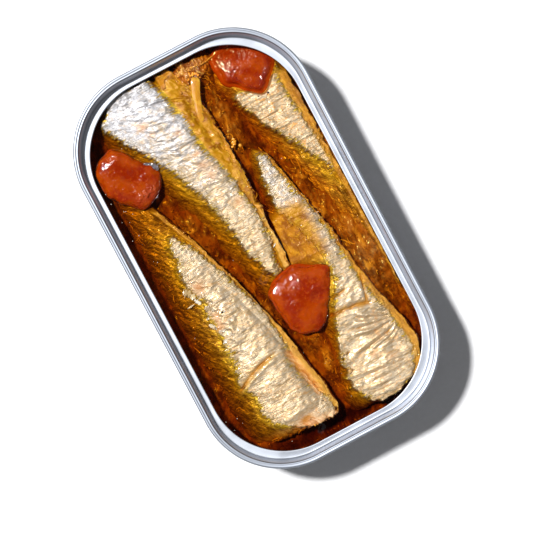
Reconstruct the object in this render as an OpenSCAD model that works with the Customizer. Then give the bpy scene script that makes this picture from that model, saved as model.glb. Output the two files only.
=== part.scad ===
// Opened sardine tin: a drawn body, the seamed ring that is left of its pull-off
// lid, and four headless sardines with three pieces of tomato in oil.
// Millimetres. X runs across the tin, Y along it and Z up. The origin is the
// middle of the face that the tin stands on.

/* [Tin] */
// Length over the seam
can_l = 106; // [86:0.5:132]
// Width over the seam
can_w = 62.4; // [50:0.2:78]
// Height up to the crest of the seam
can_h = 23; // [18:0.5:32]
// Corner radius of the seam, outside
corner_r = 20.8; // [16:0.2:25]
// Thickness of the body's sheet
body_t = 0.3; // [0.2:0.05:0.5]
// Outer radius between wall and base
base_r = 2; // [1.2:0.1:3]
// Width of the flat rim that the tin stands on
foot_w = 3.2; // [2:0.1:5]
// How far the base panel is pressed up
panel_rise = 0.6; // [0.3:0.1:1]

/* [Lid ring] */
// Width of the seam, seen from above
seam_w = 1.35; // [1.2:0.05:1.8]
// Height of the seam
seam_h = 2.9; // [2.4:0.1:3.6]
// How far the seam stands out past the body's wall
seam_step = 0.7; // [0.5:0.05:0.9]
// Thickness of the lid's sheet
lid_t = 0.28; // [0.2:0.02:0.4]
// Depth from the seam's crest down to the ledge
sink_depth = 3.4; // [2.6:0.1:4.2]
// How far the inner wall leans in on its way down
wall_lean = 1.1; // [0.6:0.1:1.6]
// Width of the ledge that is left along the sides
ledge_w = 1.1; // [0.8:0.05:2]
// Extra radius of the mouth's corners over a parallel edge
mouth_extra_r = 1.75; // [0:0.25:3]

/* [Contents] */
// Depth from the seam's crest down to the oil
oil_depth = 5.2; // [4.8:0.1:8]
// Height of the fattest backs over the oil
back_proud = 0.7; // [0.2:0.1:0.8]
// Height of the tomato pieces over the oil
tomato_proud = 0.95; // [0.3:0.05:1]
// Lean of the sardines towards the right wall, as run over rise
fish_lean = 0.3; // [0:0.05:0.4]
// Thickness of the middle of a tomato piece
tomato_t = 4.6; // [3:0.2:6]
// Length of the loose fin strip
strip_l = 11.5; // [8:0.5:14]
// Width of the loose fin strip
strip_w = 2.3; // [1.6:0.1:3]
// Thickness of the loose fin strip
strip_t = 0.7; // [0.4:0.1:1]

/* [Hidden] */
$fn = 64;

seam_fit = 0.03;        // room around the wall's edge inside the seam
food_gap = 0.1;         // room between the food and the tin
oil_gap = 0.02;         // room between the oil and the tin
cover_hook = 0.5;       // seam metal over the wall's top edge
long = 500;             // longer than any cut needs
foot_steps = 5;         // flat steps in the round between base and wall

wall_in = seam_step + body_t;                    // inner face of the wall, in from the seam
inner = [can_w / 2 - wall_in, can_l / 2 - wall_in];      // half sizes of the space inside
inner_r = corner_r - wall_in;
floor_z = panel_rise + body_t;
level = can_h - oil_depth;
mouth_in = seam_w + wall_lean + ledge_w;         // ledge's free edge, in from the seam

// ---- sweeps round the tin ------------------------------------------------

// Rounded rectangle, as far inside the seam's outline as inset says.
module plan(inset, extra_r = 0) {
    r = corner_r - inset + extra_r;
    half = [can_w / 2 - inset, can_l / 2 - inset];
    for (sx = [-1, 1], sy = [-1, 1])
        translate([sx * (half[0] - r), sy * (half[1] - r)]) circle(r, $fn = 96);
    square([2 * (half[0] - r), 2 * half[1]], center = true);
    square([2 * half[0], 2 * (half[1] - r)], center = true);
}

// Carries a flat section round the seam's outline. The section is drawn with x
// as the distance in from the outline, and y as the height.
module around() {
    flat_x = can_w / 2 - corner_r;
    flat_y = can_l / 2 - corner_r;
    for (turn = [0, 180]) rotate([0, 0, turn]) {
        translate([can_w / 2, flat_y, 0]) rotate([90, 0, 0])
            linear_extrude(2 * flat_y) mirror([1, 0]) children();
        translate([flat_x, can_l / 2, 0]) rotate([90, 0, -90])
            linear_extrude(2 * flat_x) children();
        for (corner = [0, 1]) mirror([corner, 0, 0])
            translate([flat_x, flat_y, 0])
                rotate_extrude(angle = 90, $fn = 96)
                    translate([corner_r, 0]) mirror([1, 0]) children();
    }
}

// ---- tin -----------------------------------------------------------------

// Points of the quarter round between the base and the wall, drawn in flat steps.
function foot_arc(r) =
    [for (i = [0 : foot_steps])
        let (turn = 180 + 90 * i / foot_steps)
        [seam_step + base_r + r * cos(turn), base_r + r * sin(turn)]];

// Wall, with its round foot and the flat rim that the tin stands on.
module body_section() {
    top = can_h - cover_hook - seam_fit;
    outside = foot_arc(base_r);
    inside = foot_arc(base_r - body_t);
    polygon([for (p = outside) p, for (i = [foot_steps : -1 : 0]) inside[i]]);
    translate([seam_step, base_r]) square([body_t, top - base_r]);
    translate([seam_step + base_r, 0]) square([foot_w, body_t]);
    translate([seam_step + base_r + foot_w, 0]) square([body_t, floor_z]);
}

module can_body() {
    panel_in = seam_step + base_r + foot_w;
    color([0.74, 0.75, 0.77]) {
        around() body_section();
        translate([0, 0, panel_rise]) linear_extrude(body_t) plan(panel_in);
    }
}

// Rolled seam, closed over the wall's edge, and the wall that leans in below it.
module ring_section() {
    crest_r = seam_w / 2;
    foot = seam_w + wall_lean;
    ledge_z = can_h - sink_depth;
    difference() {
        union() {
            translate([crest_r, can_h - crest_r]) circle(crest_r);
            translate([0, can_h - seam_h]) square([seam_step, seam_h - crest_r]);
            polygon([[seam_w - lid_t, can_h - crest_r], [seam_w, can_h - crest_r],
                     [foot, ledge_z], [foot, ledge_z - lid_t], [foot - lid_t, ledge_z - lid_t]]);
        }
        translate([seam_step - seam_fit, can_h - cover_hook - long])
            square([body_t + 2 * seam_fit, long]);
    }
}

module lid_ring() {
    color([0.86, 0.87, 0.89]) {
        around() ring_section();
        translate([0, 0, can_h - sink_depth - lid_t]) linear_extrude(lid_t) difference() {
            plan(seam_w + wall_lean - lid_t / 2);
            plan(mouth_in, mouth_extra_r);
        }
    }
}

// ---- sardines ------------------------------------------------------------

// Each row places one sardine in the space inside the tin, whose half width and
// half length both count as 1. The numbers in threes hold at the cut end, the
// middle and the tail: the crest's place, the reach of the flank to the left of
// it and to the right, how far the crest lies below the fattest back in mm, and
// how square the left flank is.
SARDINES = [
    // ends           crest                   left                right               drop           square
    [[0.935, -0.40], [-0.33, 0.01, 0.05],   [0.46, 0.40, 0.13], [0.55, 0.23, 0.12], [0, 0.3, 3.4], [2.5, 1.8, 1.8]],
    [[-0.875, 0.54], [-0.28, -0.42, -0.74], [0.46, 0.42, 0.12], [0.38, 0.25, 0.07], [0, 0, 3.6], [2.4, 2.0, 1.8]],
    [[-0.92, 0.43],  [0.43, 0.52, 0.36],    [0.37, 0.29, 0.08], [0.60, 0.22, 0.09], [0, 0.4, 1.4], [2.6, 1.9, 1.8]],
    [[0.86, -0.60],  [0.60, 0.86, 0.93],    [0.34, 0.24, 0.05], [0.36, 0.12, 0.05], [0.2, 1.2, 3.2], [2.2, 2.0, 1.8]]
];
fish_rows = 22;      // sections along a sardine
fish_sides = 18;     // points round each section
right_square = 2.5;  // squareness of the right flank
round_end = 0.07;    // part of the length over which the cut end rounds off
tail_rise = 7;       // height of the tail's underside over the cut end's

// The parabola through three values, at the start, the middle and the end.
function through(q, s) =
    q[0] * (1 - s) * (1 - 2 * s) + q[1] * 4 * s * (1 - s) + q[2] * s * (2 * s - 1);

// Keeps the sign of a while its size is raised to n.
function signed_pow(a, n) = sign(a) * pow(abs(a), n);

// Half width of the space inside the tin at y, kept clear of the wall.
function half_width(y) =
    let (past = max(0, abs(y) - (inner[1] - inner_r)))
    inner[0] - inner_r + sqrt(max(0, pow(inner_r, 2) - pow(past, 2))) - food_gap;

// One section: two quarter ovals above the widest line and two below it, leant
// over to the right and kept off the walls.
function fish_section(f, s) =
    let (
        swell = s < round_end ? sqrt(1 - 0.35 * pow(1 - s / round_end, 2)) : 1,
        y = inner[1] * (f[0][0] * (1 - s) + f[0][1] * s),
        keel = floor_z + food_gap + tail_rise * pow(s, 2),
        crest = keel + (level + back_proud - through(f[4], s) - keel) * swell,
        waist = keel + 0.45 * (crest - keel),
        middle = inner[0] * through(f[1], s),
        limit = half_width(y),
        left = min(inner[0] * through(f[2], s) * swell,
                   limit + middle - fish_lean * 0.75 * (crest - keel)),
        right = min(inner[0] * through(f[3], s) * swell, limit - middle)
    )
    [for (i = [0 : fish_sides - 1])
        let (
            turn = 360 * i / fish_sides,
            n = cos(turn) < 0 ? through(f[5], s) : right_square,
            z = waist + signed_pow(sin(turn), 2 / n) * (sin(turn) > 0 ? crest - waist : waist - keel),
            x = middle + signed_pow(cos(turn), 2 / n) * (cos(turn) > 0 ? right : left)
                + fish_lean * (z - crest)
        )
        [x, y, z]];

// Rows along a sardine, closer together at the cut end.
function row_place(i) = let (s = i / (fish_rows - 1)) s * (0.55 + 0.45 * s);

// A closed skin over rows of points, each row a closed loop, with flat ends. The
// loops turn left as seen from the first row when away is true.
module skin(rows, away = true) {
    n = len(rows[0]);
    m = len(rows);
    function at(i, j) = i * n + j % n;
    sides = [for (i = [0 : m - 2], j = [0 : n - 1])
                [at(i, j), at(i + 1, j), at(i + 1, j + 1), at(i, j + 1)]];
    start = [[for (j = [0 : n - 1]) at(0, j)]];
    end = [[for (j = [n - 1 : -1 : 0]) at(m - 1, j)]];
    faces = concat(sides, start, end);
    polyhedron([for (row = rows) each row],
               away ? faces : [for (f = faces) [for (k = [len(f) - 1 : -1 : 0]) f[k]]],
               convexity = 6);
}

module sardine(k) {
    f = SARDINES[k];
    color([0.80, 0.72, 0.55])
        skin([for (i = [0 : fish_rows - 1]) fish_section(f, row_place(i))], f[0][0] > f[0][1]);
}

// ---- tomato, strip and loose flesh ---------------------------------------

// Each row places one piece of tomato: its middle in the space inside the tin,
// its half sizes along its own axes in mm, its turn in degrees, and the number
// and depth of the corners in its outline.
TOMATOES = [
    [[0.605, 0.795],  [8.3, 7.4], -35, 4, 0.07],
    [[-0.655, 0.568], [9.4, 6.8], -62, 3, 0.08],
    [[0.175, -0.315], [8.4, 8.7], 14, 5, 0.07]
];
blob_rows = 9;
blob_sides = 20;
blob_square = 0.7;   // under 1 the outline stays wide further up and down

// A flattened ball whose outline has a few soft corners, kept off the walls. Its
// middle is given in the space inside the tin, and top is the height of its crown.
module blob(middle, half, thick, top, turn, corners, depth) {
    skin([for (i = [1 : blob_rows - 1])
        let (lift = -90 + 180 * i / blob_rows)
        [for (j = [0 : blob_sides - 1])
            let (a = 360 * j / blob_sides,
                 r = pow(cos(lift), blob_square) * (1 + depth * cos(corners * a)),
                 across = half[0] * r * cos(a),
                 along = half[1] * r * sin(a),
                 end = inner[1] - food_gap,
                 y = inner[1] * middle[1] + across * sin(turn) + along * cos(turn),
                 y_in = max(-end, min(end, y)),
                 side = half_width(y_in),
                 x = inner[0] * middle[0] + across * cos(turn) - along * sin(turn))
            [max(-side, min(side, x)), y_in, top - thick / 2 * (1 - sin(lift))]]]);
}

module tomato_form(k) {
    t = TOMATOES[k];
    blob(t[0], t[1], tomato_t, level + tomato_proud, t[2], t[3], t[4]);
}

module tomato(k, on) {
    color([0.80, 0.22, 0.06]) difference() {
        tomato_form(k);
        for (f = on) sardine(f);
    }
}

// A loose strip of fin that lies bent over the first sardine's back.
strip_bend_r = 34;
strip_mid = [0.165, 0.765];
strip_turn = -21;
strip_sink = 0.25;

module fin_strip() {
    angle = strip_l / strip_bend_r * 180 / PI;
    color([0.88, 0.62, 0.16])
        translate([inner[0] * strip_mid[0], inner[1] * strip_mid[1], level - strip_sink])
            rotate([0, 0, strip_turn]) translate([-strip_bend_r, 0, 0])
                rotate([0, 0, -angle / 2]) rotate_extrude(angle = angle, $fn = 128)
                    translate([strip_bend_r, strip_t / 2]) {
                        square([strip_w - strip_t, strip_t], center = true);
                        for (side = [-1, 1])
                            translate([side * (strip_w - strip_t) / 2, 0]) circle(strip_t / 2);
                    }
}

// A small heap of loose flesh between the first and the last sardine, just
// below the strip.
flesh_mid = [0.20, 0.875];
flesh_half = [5.0, 2.9];
flesh_t = 4.4;
flesh_turn = 8;

module flesh_form() {
    blob(flesh_mid, flesh_half, flesh_t, level - strip_sink - food_gap, flesh_turn, 4, 0.08);
}

module loose_flesh() {
    color([0.80, 0.52, 0.22]) difference() {
        flesh_form();
        sardine(0);
        tomato_form(0);
    }
}

// ---- oil -----------------------------------------------------------------

// Fills the tin up to its level, cut round everything that lies in it.
module oil() {
    foot_z = floor_z + oil_gap;
    color([0.62, 0.33, 0.05, 0.6]) difference() {
        union() {
            translate([0, 0, foot_z]) linear_extrude(base_r - foot_z + 0.5)
                plan(seam_step + base_r);
            translate([0, 0, base_r]) linear_extrude(level - base_r) plan(wall_in + oil_gap);
        }
        for (k = [0 : len(SARDINES) - 1]) sardine(k);
        for (k = [0 : len(TOMATOES) - 1]) tomato_form(k);
        fin_strip();
        flesh_form();
    }
}

can_body();
lid_ring();
sardine(0);  // sardine_1
sardine(1);  // sardine_2
sardine(2);  // sardine_3
sardine(3);  // sardine_4
tomato(0, [3]);  // tomato_1
tomato(1, [0, 1]);  // tomato_2
tomato(2, [0, 2]);  // tomato_3
fin_strip();
loose_flesh();
oil();
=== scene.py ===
"""An opened sardine tin: the drawn body, the ring left of its lid, four sardines,
three pieces of tomato, and the oil with its shreds and crumbs.

Lengths inside the functions are in millimetres, and become metres where a mesh
is made. X runs across the tin, Y along it and Z up.
"""

import math

import bpy
import numpy as np
from mathutils import Matrix, Vector


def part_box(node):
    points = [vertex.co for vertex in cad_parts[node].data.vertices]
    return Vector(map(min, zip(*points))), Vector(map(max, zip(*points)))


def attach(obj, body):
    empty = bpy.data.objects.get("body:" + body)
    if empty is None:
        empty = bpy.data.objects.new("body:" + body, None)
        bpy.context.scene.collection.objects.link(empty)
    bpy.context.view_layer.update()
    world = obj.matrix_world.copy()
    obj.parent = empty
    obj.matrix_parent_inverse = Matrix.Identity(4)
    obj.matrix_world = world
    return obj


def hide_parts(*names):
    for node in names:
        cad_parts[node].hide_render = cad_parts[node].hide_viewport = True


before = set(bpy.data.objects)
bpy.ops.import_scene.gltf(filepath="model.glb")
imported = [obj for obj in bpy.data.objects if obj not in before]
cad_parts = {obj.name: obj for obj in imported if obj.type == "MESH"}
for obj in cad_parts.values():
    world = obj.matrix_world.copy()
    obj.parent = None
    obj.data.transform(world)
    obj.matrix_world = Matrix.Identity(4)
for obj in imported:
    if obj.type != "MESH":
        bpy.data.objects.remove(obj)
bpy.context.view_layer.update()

MM = 0.001
TAU = 2 * math.pi

# ---- sizes, from the frame -------------------------------------------------


def corners(node):
    """Lowest and highest corner of a CAD node, in millimetres."""
    low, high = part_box(node)
    return np.array(low) / MM, np.array(high) / MM


RING_LOW, RING_HIGH = corners("lid_ring")
BODY_LOW, BODY_HIGH = corners("can_body")
HALF = RING_HIGH[:2]                 # half width and half length over the seam
TOP = RING_HIGH[2]                   # crest of the seam
LEDGE_T = 0.28                       # the lid's sheet
LEDGE_Z = RING_LOW[2] + LEDGE_T      # top of the ledge that is left of the lid
SEAM_STEP = HALF[0] - BODY_HIGH[0]   # seam outside the wall
WALL_T = 0.3                         # the body's sheet
LEVEL = corners("oil")[1][2]         # top of the oil
CORNER_R = 20.8                      # corner radius of the seam, outside
INSIDE = BODY_HIGH[:2] - WALL_T      # half sizes of the space inside
INSIDE_R = CORNER_R - SEAM_STEP - WALL_T
MOUTH_EXTRA_R = 1.75                 # extra radius of the mouth's corners
FLAT = HALF - CORNER_R               # half lengths of the straight stretches
FLOOR_Z = 0.9                        # top of the base panel
PLAN = np.array([30.2, 52.0])        # half sizes that the places below are given in


def spot(x, y):
    """A place in the tin, stretched with the space inside."""
    return np.asarray(x) * INSIDE[0] / PLAN[0], np.asarray(y) * INSIDE[1] / PLAN[1]


# ---- numbers on grids ------------------------------------------------------


def smooth(low, high, x):
    """0 below low, 1 above high, and an S-shaped cubic between."""
    t = np.clip((np.asarray(x, float) - low) / (high - low), 0, 1)
    return t * t * (3 - 2 * t)


def hashed(ix, iy, seed):
    """A fixed number from 0 to 1 for each whole pair of steps."""
    n = ix.astype(np.int64) * 374761393 + iy.astype(np.int64) * 668265263 + seed * 974711
    n = (n ^ (n >> 13)) * 1274126177 & 0xFFFFFFFF
    n = (n ^ (n >> 16)) * 2246822519 & 0xFFFFFFFF
    return ((n ^ (n >> 15)) & 0xFFFFFF) / float(0xFFFFFF)


def wave(x, y, seed=0):
    """Value noise from -1 to 1: hashed corners, blended by a quintic."""
    x, y = np.broadcast_arrays(np.asarray(x, float), np.asarray(y, float))
    ix, iy = np.floor(x), np.floor(y)
    fx, fy = x - ix, y - iy
    fx, fy = (f * f * f * (f * (f * 6 - 15) + 10) for f in (fx, fy))
    a, b = hashed(ix, iy, seed), hashed(ix + 1, iy, seed)
    c, d = hashed(ix, iy + 1, seed), hashed(ix + 1, iy + 1, seed)
    return 2 * ((a * (1 - fx) + b * fx) * (1 - fy) + (c * (1 - fx) + d * fx) * fy) - 1


def cloud(x, y, seed=0, octaves=3):
    """Waves of half the size and half the height, added up."""
    total = sum(wave(x * 2 ** k, y * 2 ** k, seed + 17 * k) / 2 ** k for k in range(octaves))
    return total / (2 - 2 ** (1 - octaves))


def ridges(x, y, seed=0):
    """Sharp crests: one less the size of two waves added, from 0 to 1."""
    return 1 - np.abs(0.65 * wave(x, y, seed) + 0.35 * wave(2.1 * x, 2.1 * y, seed + 5))


def hump(x, y, cx, cy, rx, ry, turn=0.0):
    """A round bell of height 1 about a place, with half sizes rx and ry."""
    c, s = math.cos(turn), math.sin(turn)
    u, v = ((x - cx) * c + (y - cy) * s) / rx, (-(x - cx) * s + (y - cy) * c) / ry
    return np.exp(-(u * u + v * v))


def humps(x, y, rows):
    """Bells added up. A row gives a height, a place, half sizes and a turn."""
    return sum(high * hump(x, y, *row) for high, *row in rows)


def to_line(x, y, ends, sag=0.0):
    """Distance to the right of a line between two places, bent by sag in its
    middle, and how far along it a point lies, from 0 to 1."""
    (ax, ay), (bx, by) = ends
    length = math.hypot(bx - ax, by - ay)
    ux, uy = (bx - ax) / length, (by - ay) / length
    along = ((x - ax) * ux + (y - ay) * uy) / length
    side = (x - ax) * uy - (y - ay) * ux
    return side - 4 * sag * along * (1 - along), along


def groove(x, y, ends, width, sag=0.0, fade=0.12):
    """A furrow of depth 1 that follows a line and fades out at both of its ends."""
    side, along = to_line(x, y, ends, sag)
    return np.exp(-(side / width) ** 2) * smooth(-fade, fade, along) * smooth(-fade, fade, 1 - along)


def folds(x, y, rows):
    """Furrows and ridges added up. A row gives both ends, a width, a bend and a
    height, which is below nothing for a furrow."""
    return sum(high * groove(x, y, (start, end), width, sag) for start, end, width, sag, high in rows)


# ---- meshes ----------------------------------------------------------------


def surface(name, points, marks=None, ring=False):
    """A closed mesh over rows of points, each row a closed loop. The last row joins
    the first when ring is true, and otherwise a face closes each end. Marks are
    numbers or triples for every point, kept as attributes."""
    rows, cols = points.shape[:2]
    grid = np.arange(rows * cols).reshape(rows, cols)
    loops, sizes = skin(grid, ring)
    return build(name, points.reshape(-1, 3), loops, sizes, marks)


def skin(grid, ring=False):
    """Corners and sizes of the faces over a grid of point numbers."""
    nxt = np.roll(grid, -1, axis=1)
    if ring:
        grid, nxt = np.vstack([grid, grid[:1]]), np.vstack([nxt, nxt[:1]])
    quads = np.stack([grid[:-1], nxt[:-1], nxt[1:], grid[1:]], axis=-1).reshape(-1)
    sizes = np.full(len(quads) // 4, 4)
    if ring:
        return quads, sizes
    ends = np.concatenate([grid[0, ::-1], grid[-1]])
    return np.concatenate([quads, ends]), np.concatenate([sizes, [grid.shape[1]] * 2])


def joined(name, parts, marks=None):
    """One mesh of many small closed grids, each rows by cols by 3."""
    points, loops, sizes, base = [], [], [], 0
    gathered = {key: [] for key in (marks or {})}
    for k, part in enumerate(parts):
        rows, cols = part.shape[:2]
        faces, counts = skin(np.arange(rows * cols).reshape(rows, cols) + base)
        if flux(part.reshape(-1, 3), faces - base, counts) < 0:
            faces, counts = faces[::-1], counts[::-1]
        points.append(part.reshape(-1, 3))
        loops.append(faces)
        sizes.append(counts)
        for key in gathered:
            gathered[key].append(np.full(rows * cols, marks[key][k]))
        base += rows * cols
    kept = {key: np.concatenate(values) for key, values in gathered.items()}
    return build(name, np.concatenate(points), np.concatenate(loops), np.concatenate(sizes), kept)


def flux(points, loops, sizes):
    """Above nothing when the four-sided faces of a closed mesh look outwards."""
    first = np.concatenate([[0], np.cumsum(sizes)[:-1]])[sizes == 4]
    a, b, c, d = (points[loops[first + k]] - points.mean(0) for k in range(4))
    return np.sum((a + b + c + d) * np.cross(c - a, d - b))


def build(name, points, loops, sizes, marks=None):
    """Puts points in millimetres and faces into a mesh whose faces look outwards."""
    if flux(points, loops, sizes) < 0:
        loops, sizes = loops[::-1], sizes[::-1]
    mesh = bpy.data.meshes.new(name)
    mesh.vertices.add(len(points))
    mesh.vertices.foreach_set("co", (np.asarray(points, np.float32) * MM).ravel())
    mesh.loops.add(len(loops))
    mesh.loops.foreach_set("vertex_index", np.asarray(loops, np.int32))
    mesh.polygons.add(len(sizes))
    starts = np.concatenate([[0], np.cumsum(sizes)[:-1]])
    mesh.polygons.foreach_set("loop_start", starts.astype(np.int32))
    mesh.polygons.foreach_set("use_smooth", np.ones(len(sizes), bool))
    for key, values in (marks or {}).items():
        values = np.asarray(values, np.float32)
        kind, field = ("FLOAT_VECTOR", "vector") if values.shape[-1] == 3 else ("FLOAT", "value")
        layer = mesh.attributes.new(key, kind, "POINT")
        layer.data.foreach_set(field, values.ravel())
    mesh.update(calc_edges=True)
    piece = bpy.data.objects.new(name, mesh)
    bpy.context.scene.collection.objects.link(piece)
    return piece


def normals(points):
    """Unit normals of a tube's grid of points that look away from its middle."""
    down = np.gradient(points, axis=0)
    across = (np.roll(points, -1, axis=1) - np.roll(points, 1, axis=1)) / 2
    n = np.cross(across, down)
    n /= np.maximum(np.linalg.norm(n, axis=-1, keepdims=True), 1e-9)
    away = points - points.mean(axis=1, keepdims=True)
    return n * (1 if np.sum(n * away) > 0 else -1)


# ---- shaders ---------------------------------------------------------------


class Value:
    """A number in a shader. Sums on it add Math nodes to its finish."""

    def __init__(self, finish, socket):
        self.finish, self.socket = finish, socket

    def maths(self, operation, *others):
        """A Math node on this number and others."""
        node = self.finish.node("ShaderNodeMath", {"operation": operation}, [self, *others])
        return Value(self.finish, node.outputs[0])

    def __add__(self, other):
        return self.maths("ADD", other)

    def __radd__(self, other):
        return self.maths("ADD", other)

    def __sub__(self, other):
        return self.maths("SUBTRACT", other)

    def __rsub__(self, other):
        return self.finish.number(other).maths("SUBTRACT", self)

    def __mul__(self, other):
        return self.maths("MULTIPLY", other)

    def __rmul__(self, other):
        return self.maths("MULTIPLY", other)

    def between(self, low, high, start=0.0, end=1.0):
        """Start below low, end above high, and a smooth step between."""
        node = self.finish.node(
            "ShaderNodeMapRange", {"interpolation_type": "SMOOTHSTEP"},
            {"Value": self.socket, "From Min": low, "From Max": high, "To Min": start, "To Max": end})
        return Value(self.finish, node.outputs["Result"])


class Finish:
    """A material that is being made, node by node."""

    def __init__(self, name):
        self.material = bpy.data.materials.new(name)
        self.material.use_nodes = True
        self.tree = self.material.node_tree
        self.tree.nodes.clear()
        self.out = self.tree.nodes.new("ShaderNodeOutputMaterial")
        self.place = self.node("ShaderNodeTexCoord").outputs["Object"]

    def node(self, kind, settings=None, inputs=None):
        """Adds a node, sets it up, and gives its sockets values or links."""
        node = self.tree.nodes.new(kind)
        for key, value in (settings or {}).items():
            setattr(node, key, value)
        pairs = inputs.items() if isinstance(inputs, dict) else enumerate(inputs or [])
        for key, value in pairs:
            value = value.socket if isinstance(value, Value) else value
            if isinstance(value, bpy.types.NodeSocket):
                self.tree.links.new(value, node.inputs[key])
            elif value is not None:
                node.inputs[key].default_value = value
        return node

    def number(self, value):
        """A plain number as a socket, so that sums can start with it."""
        node = self.node("ShaderNodeMath", {"operation": "ADD"}, [value, 0.0])
        return Value(self, node.outputs[0])

    def mark(self, name, output="Fac"):
        """A number that the mesh keeps at each of its points."""
        node = self.node("ShaderNodeAttribute", {"attribute_name": name})
        return Value(self, node.outputs[output]) if output == "Fac" else node.outputs[output]

    def parts(self, vector):
        """The three numbers of a vector."""
        node = self.node("ShaderNodeSeparateXYZ", None, [vector])
        return [Value(self, s) for s in node.outputs]

    def scaled(self, vector, scale, turn=(0, 0, 0)):
        """A vector that is stretched and turned."""
        node = self.node("ShaderNodeMapping", None, {"Vector": vector, "Scale": scale, "Rotation": turn})
        return node.outputs[0]

    def place_mm(self):
        """The place on the piece, in millimetres."""
        return self.scaled(self.place, (1 / MM, 1 / MM, 1 / MM))

    def noise(self, vector, scale=1.0, detail=2.0, rough=0.5, warp=0.0):
        """Soft noise from about 0.25 to 0.75."""
        node = self.node("ShaderNodeTexNoise", None,
                         {"Vector": vector, "Scale": scale, "Detail": detail,
                          "Roughness": rough, "Distortion": warp})
        return Value(self, node.outputs["Fac"])

    def blend(self, amount, first, second):
        """The first colour where amount is 0 and the second where it is 1."""
        first, second = (c if isinstance(c, bpy.types.NodeSocket) else paint(c) for c in (first, second))
        node = self.node("ShaderNodeMix", {"data_type": "RGBA", "clamp_factor": True},
                         {0: amount, 6: first, 7: second})
        return node.outputs[2]

    def bump(self, height, distance, strength=1.0):
        """A normal tipped by a height, of which 1 stands for a distance in metres."""
        node = self.node("ShaderNodeBump", None,
                         {"Height": height, "Distance": distance, "Strength": strength})
        return node.outputs[0]

    def principled(self, colour, **sockets):
        """The usual shader. Its sockets are named with _ for each space."""
        named = {key.replace("_", " "): value for key, value in sockets.items()}
        return self.node("ShaderNodeBsdfPrincipled", None, {"Base Color": colour, **named})

    def show(self, shader, output="Surface"):
        """Makes a shader the material's own."""
        self.tree.links.new(shader, self.out.inputs[output])


def linear(c):
    """One part of a screen's colour, from 0 to 1, as an amount of light."""
    return c / 12.92 if c <= 0.04045 else ((c + 0.055) / 1.055) ** 2.4


def paint(colour):
    """Red, green and blue as a screen shows them, from 0 to 255, for a shader."""
    return (*(linear(c / 255) for c in colour[:3]), 1.0)


# ---- tin -------------------------------------------------------------------


def round_path(corner_steps, side_steps, end_steps):
    """Goes once round the seam's outline, turning left. Gives the middle that
    each stretch is drawn about, as a sign for X and Y with 0 to 1 between them,
    and the outward direction."""
    middles, ways = [], []
    signs = [(1, 1), (-1, 1), (-1, -1), (1, -1)]
    for k, (sx, sy) in enumerate(signs):
        turn = math.pi / 2 * (k + np.arange(corner_steps) / (corner_steps - 1))
        middles.append(np.tile([sx, sy], (corner_steps, 1)).astype(float))
        ways.append(np.stack([np.cos(turn), np.sin(turn)], -1))
        tx, ty = signs[(k + 1) % 4]
        steps = end_steps if ty == sy else side_steps
        t = (np.arange(steps) + 1)[:, None] / (steps + 1)
        middles.append((1 - t) * [[sx, sy]] + t * [[tx, ty]])
        ways.append(np.tile(ways[-1][-1], (steps, 1)))
    return np.concatenate(middles), np.concatenate(ways)


def swept(profile, widen=None, extra=0.0, steps=(40, 60, 20)):
    """Carries a closed profile round the tin. Its points are given as the
    distance in from the seam's outline and the height. Where widen is 1 the
    corners have the extra radius, with the straight sides as they were. Steps
    are the points along a corner, a side and an end."""
    middles, ways = round_path(*steps)
    profile = np.asarray(profile, float)
    widen = np.zeros(len(profile)) if widen is None else np.asarray(widen)
    flat = FLAT[None, :] - extra * widen[:, None]
    xy = middles[None] * flat[:, None] + ways[None] * (
        CORNER_R - profile[:, 0] + extra * widen)[:, None, None]
    z = np.broadcast_to(profile[:, 1][:, None, None], xy.shape[:2] + (1,))
    return np.concatenate([xy, z], -1)


def arc(cx, cz, r, start, end, steps):
    """Points of a round stretch of a profile, angles in degrees."""
    a = np.radians(np.linspace(start, end, steps))
    return [(cx + r * c, cz + r * s) for c, s in zip(np.cos(a), np.sin(a))]


def seam_profile():
    """The seam and what hangs from it: up the seam's outside, over a crest with
    a shallow step in it, down the leaning wall, out along the ledge and round
    its folded edge, and back underneath. The distance in runs to the right."""
    seam_w, seam_h, lean, ledge = 1.35, 2.9, 1.1, 1.1
    foot = seam_w + lean
    mouth = foot + ledge
    low = LEDGE_Z - LEDGE_T
    points = [(SEAM_STEP - 0.02, TOP - seam_h), (0.16, TOP - seam_h)]
    points += arc(0.16, TOP - seam_h + 0.16, 0.16, 270, 180, 5)[1:]
    points += arc(0.48, TOP - 0.50, 0.48, 180, 84, 12)
    points += [(0.66, TOP - 0.045), (0.78, TOP - 0.10), (0.88, TOP - 0.115), (0.98, TOP - 0.075)]
    points += arc(1.06, TOP - 0.36, 0.29, 92, 8, 8)
    bend = 0.5
    slope = math.degrees(math.atan2(lean - 0.1, TOP - 0.5 - LEDGE_Z - bend))
    points += [(seam_w + 0.02 + (foot - bend - seam_w) * t, TOP - 0.5 + (LEDGE_Z + bend - TOP + 0.45) * t)
               for t in np.linspace(0.12, 1, 8)]
    points += arc(foot + 0.02, LEDGE_Z + bend - 0.02, bend - 0.02, 180 + slope * 0.6, 270, 8)[1:]
    flat = len(points)
    points += [(foot + 0.02 + (ledge - 0.3) * t, LEDGE_Z + 0.05 * t * t) for t in (0.35, 0.7, 1.0)]
    points += arc(mouth - 0.18, LEDGE_Z - 0.11, 0.16, 80, -90, 9)
    points += [(foot + 0.1, low + 0.02), (foot - 0.25, low + 0.03)]
    points += [(seam_w + (foot - 0.62 - seam_w) * t, TOP - 0.7 + (LEDGE_Z + 0.35 - TOP + 0.7) * t)
               for t in (0.9, 0.55, 0.2)]
    points += [(SEAM_STEP + WALL_T + 0.03, TOP - 0.75), (SEAM_STEP + WALL_T + 0.03, TOP - 0.5),
               (SEAM_STEP - 0.02, TOP - 0.5)]
    widen = smooth(foot - 0.1, mouth - 0.2, np.array([p[0] for p in points]))
    widen[:flat] = 0
    return points, widen


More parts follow.
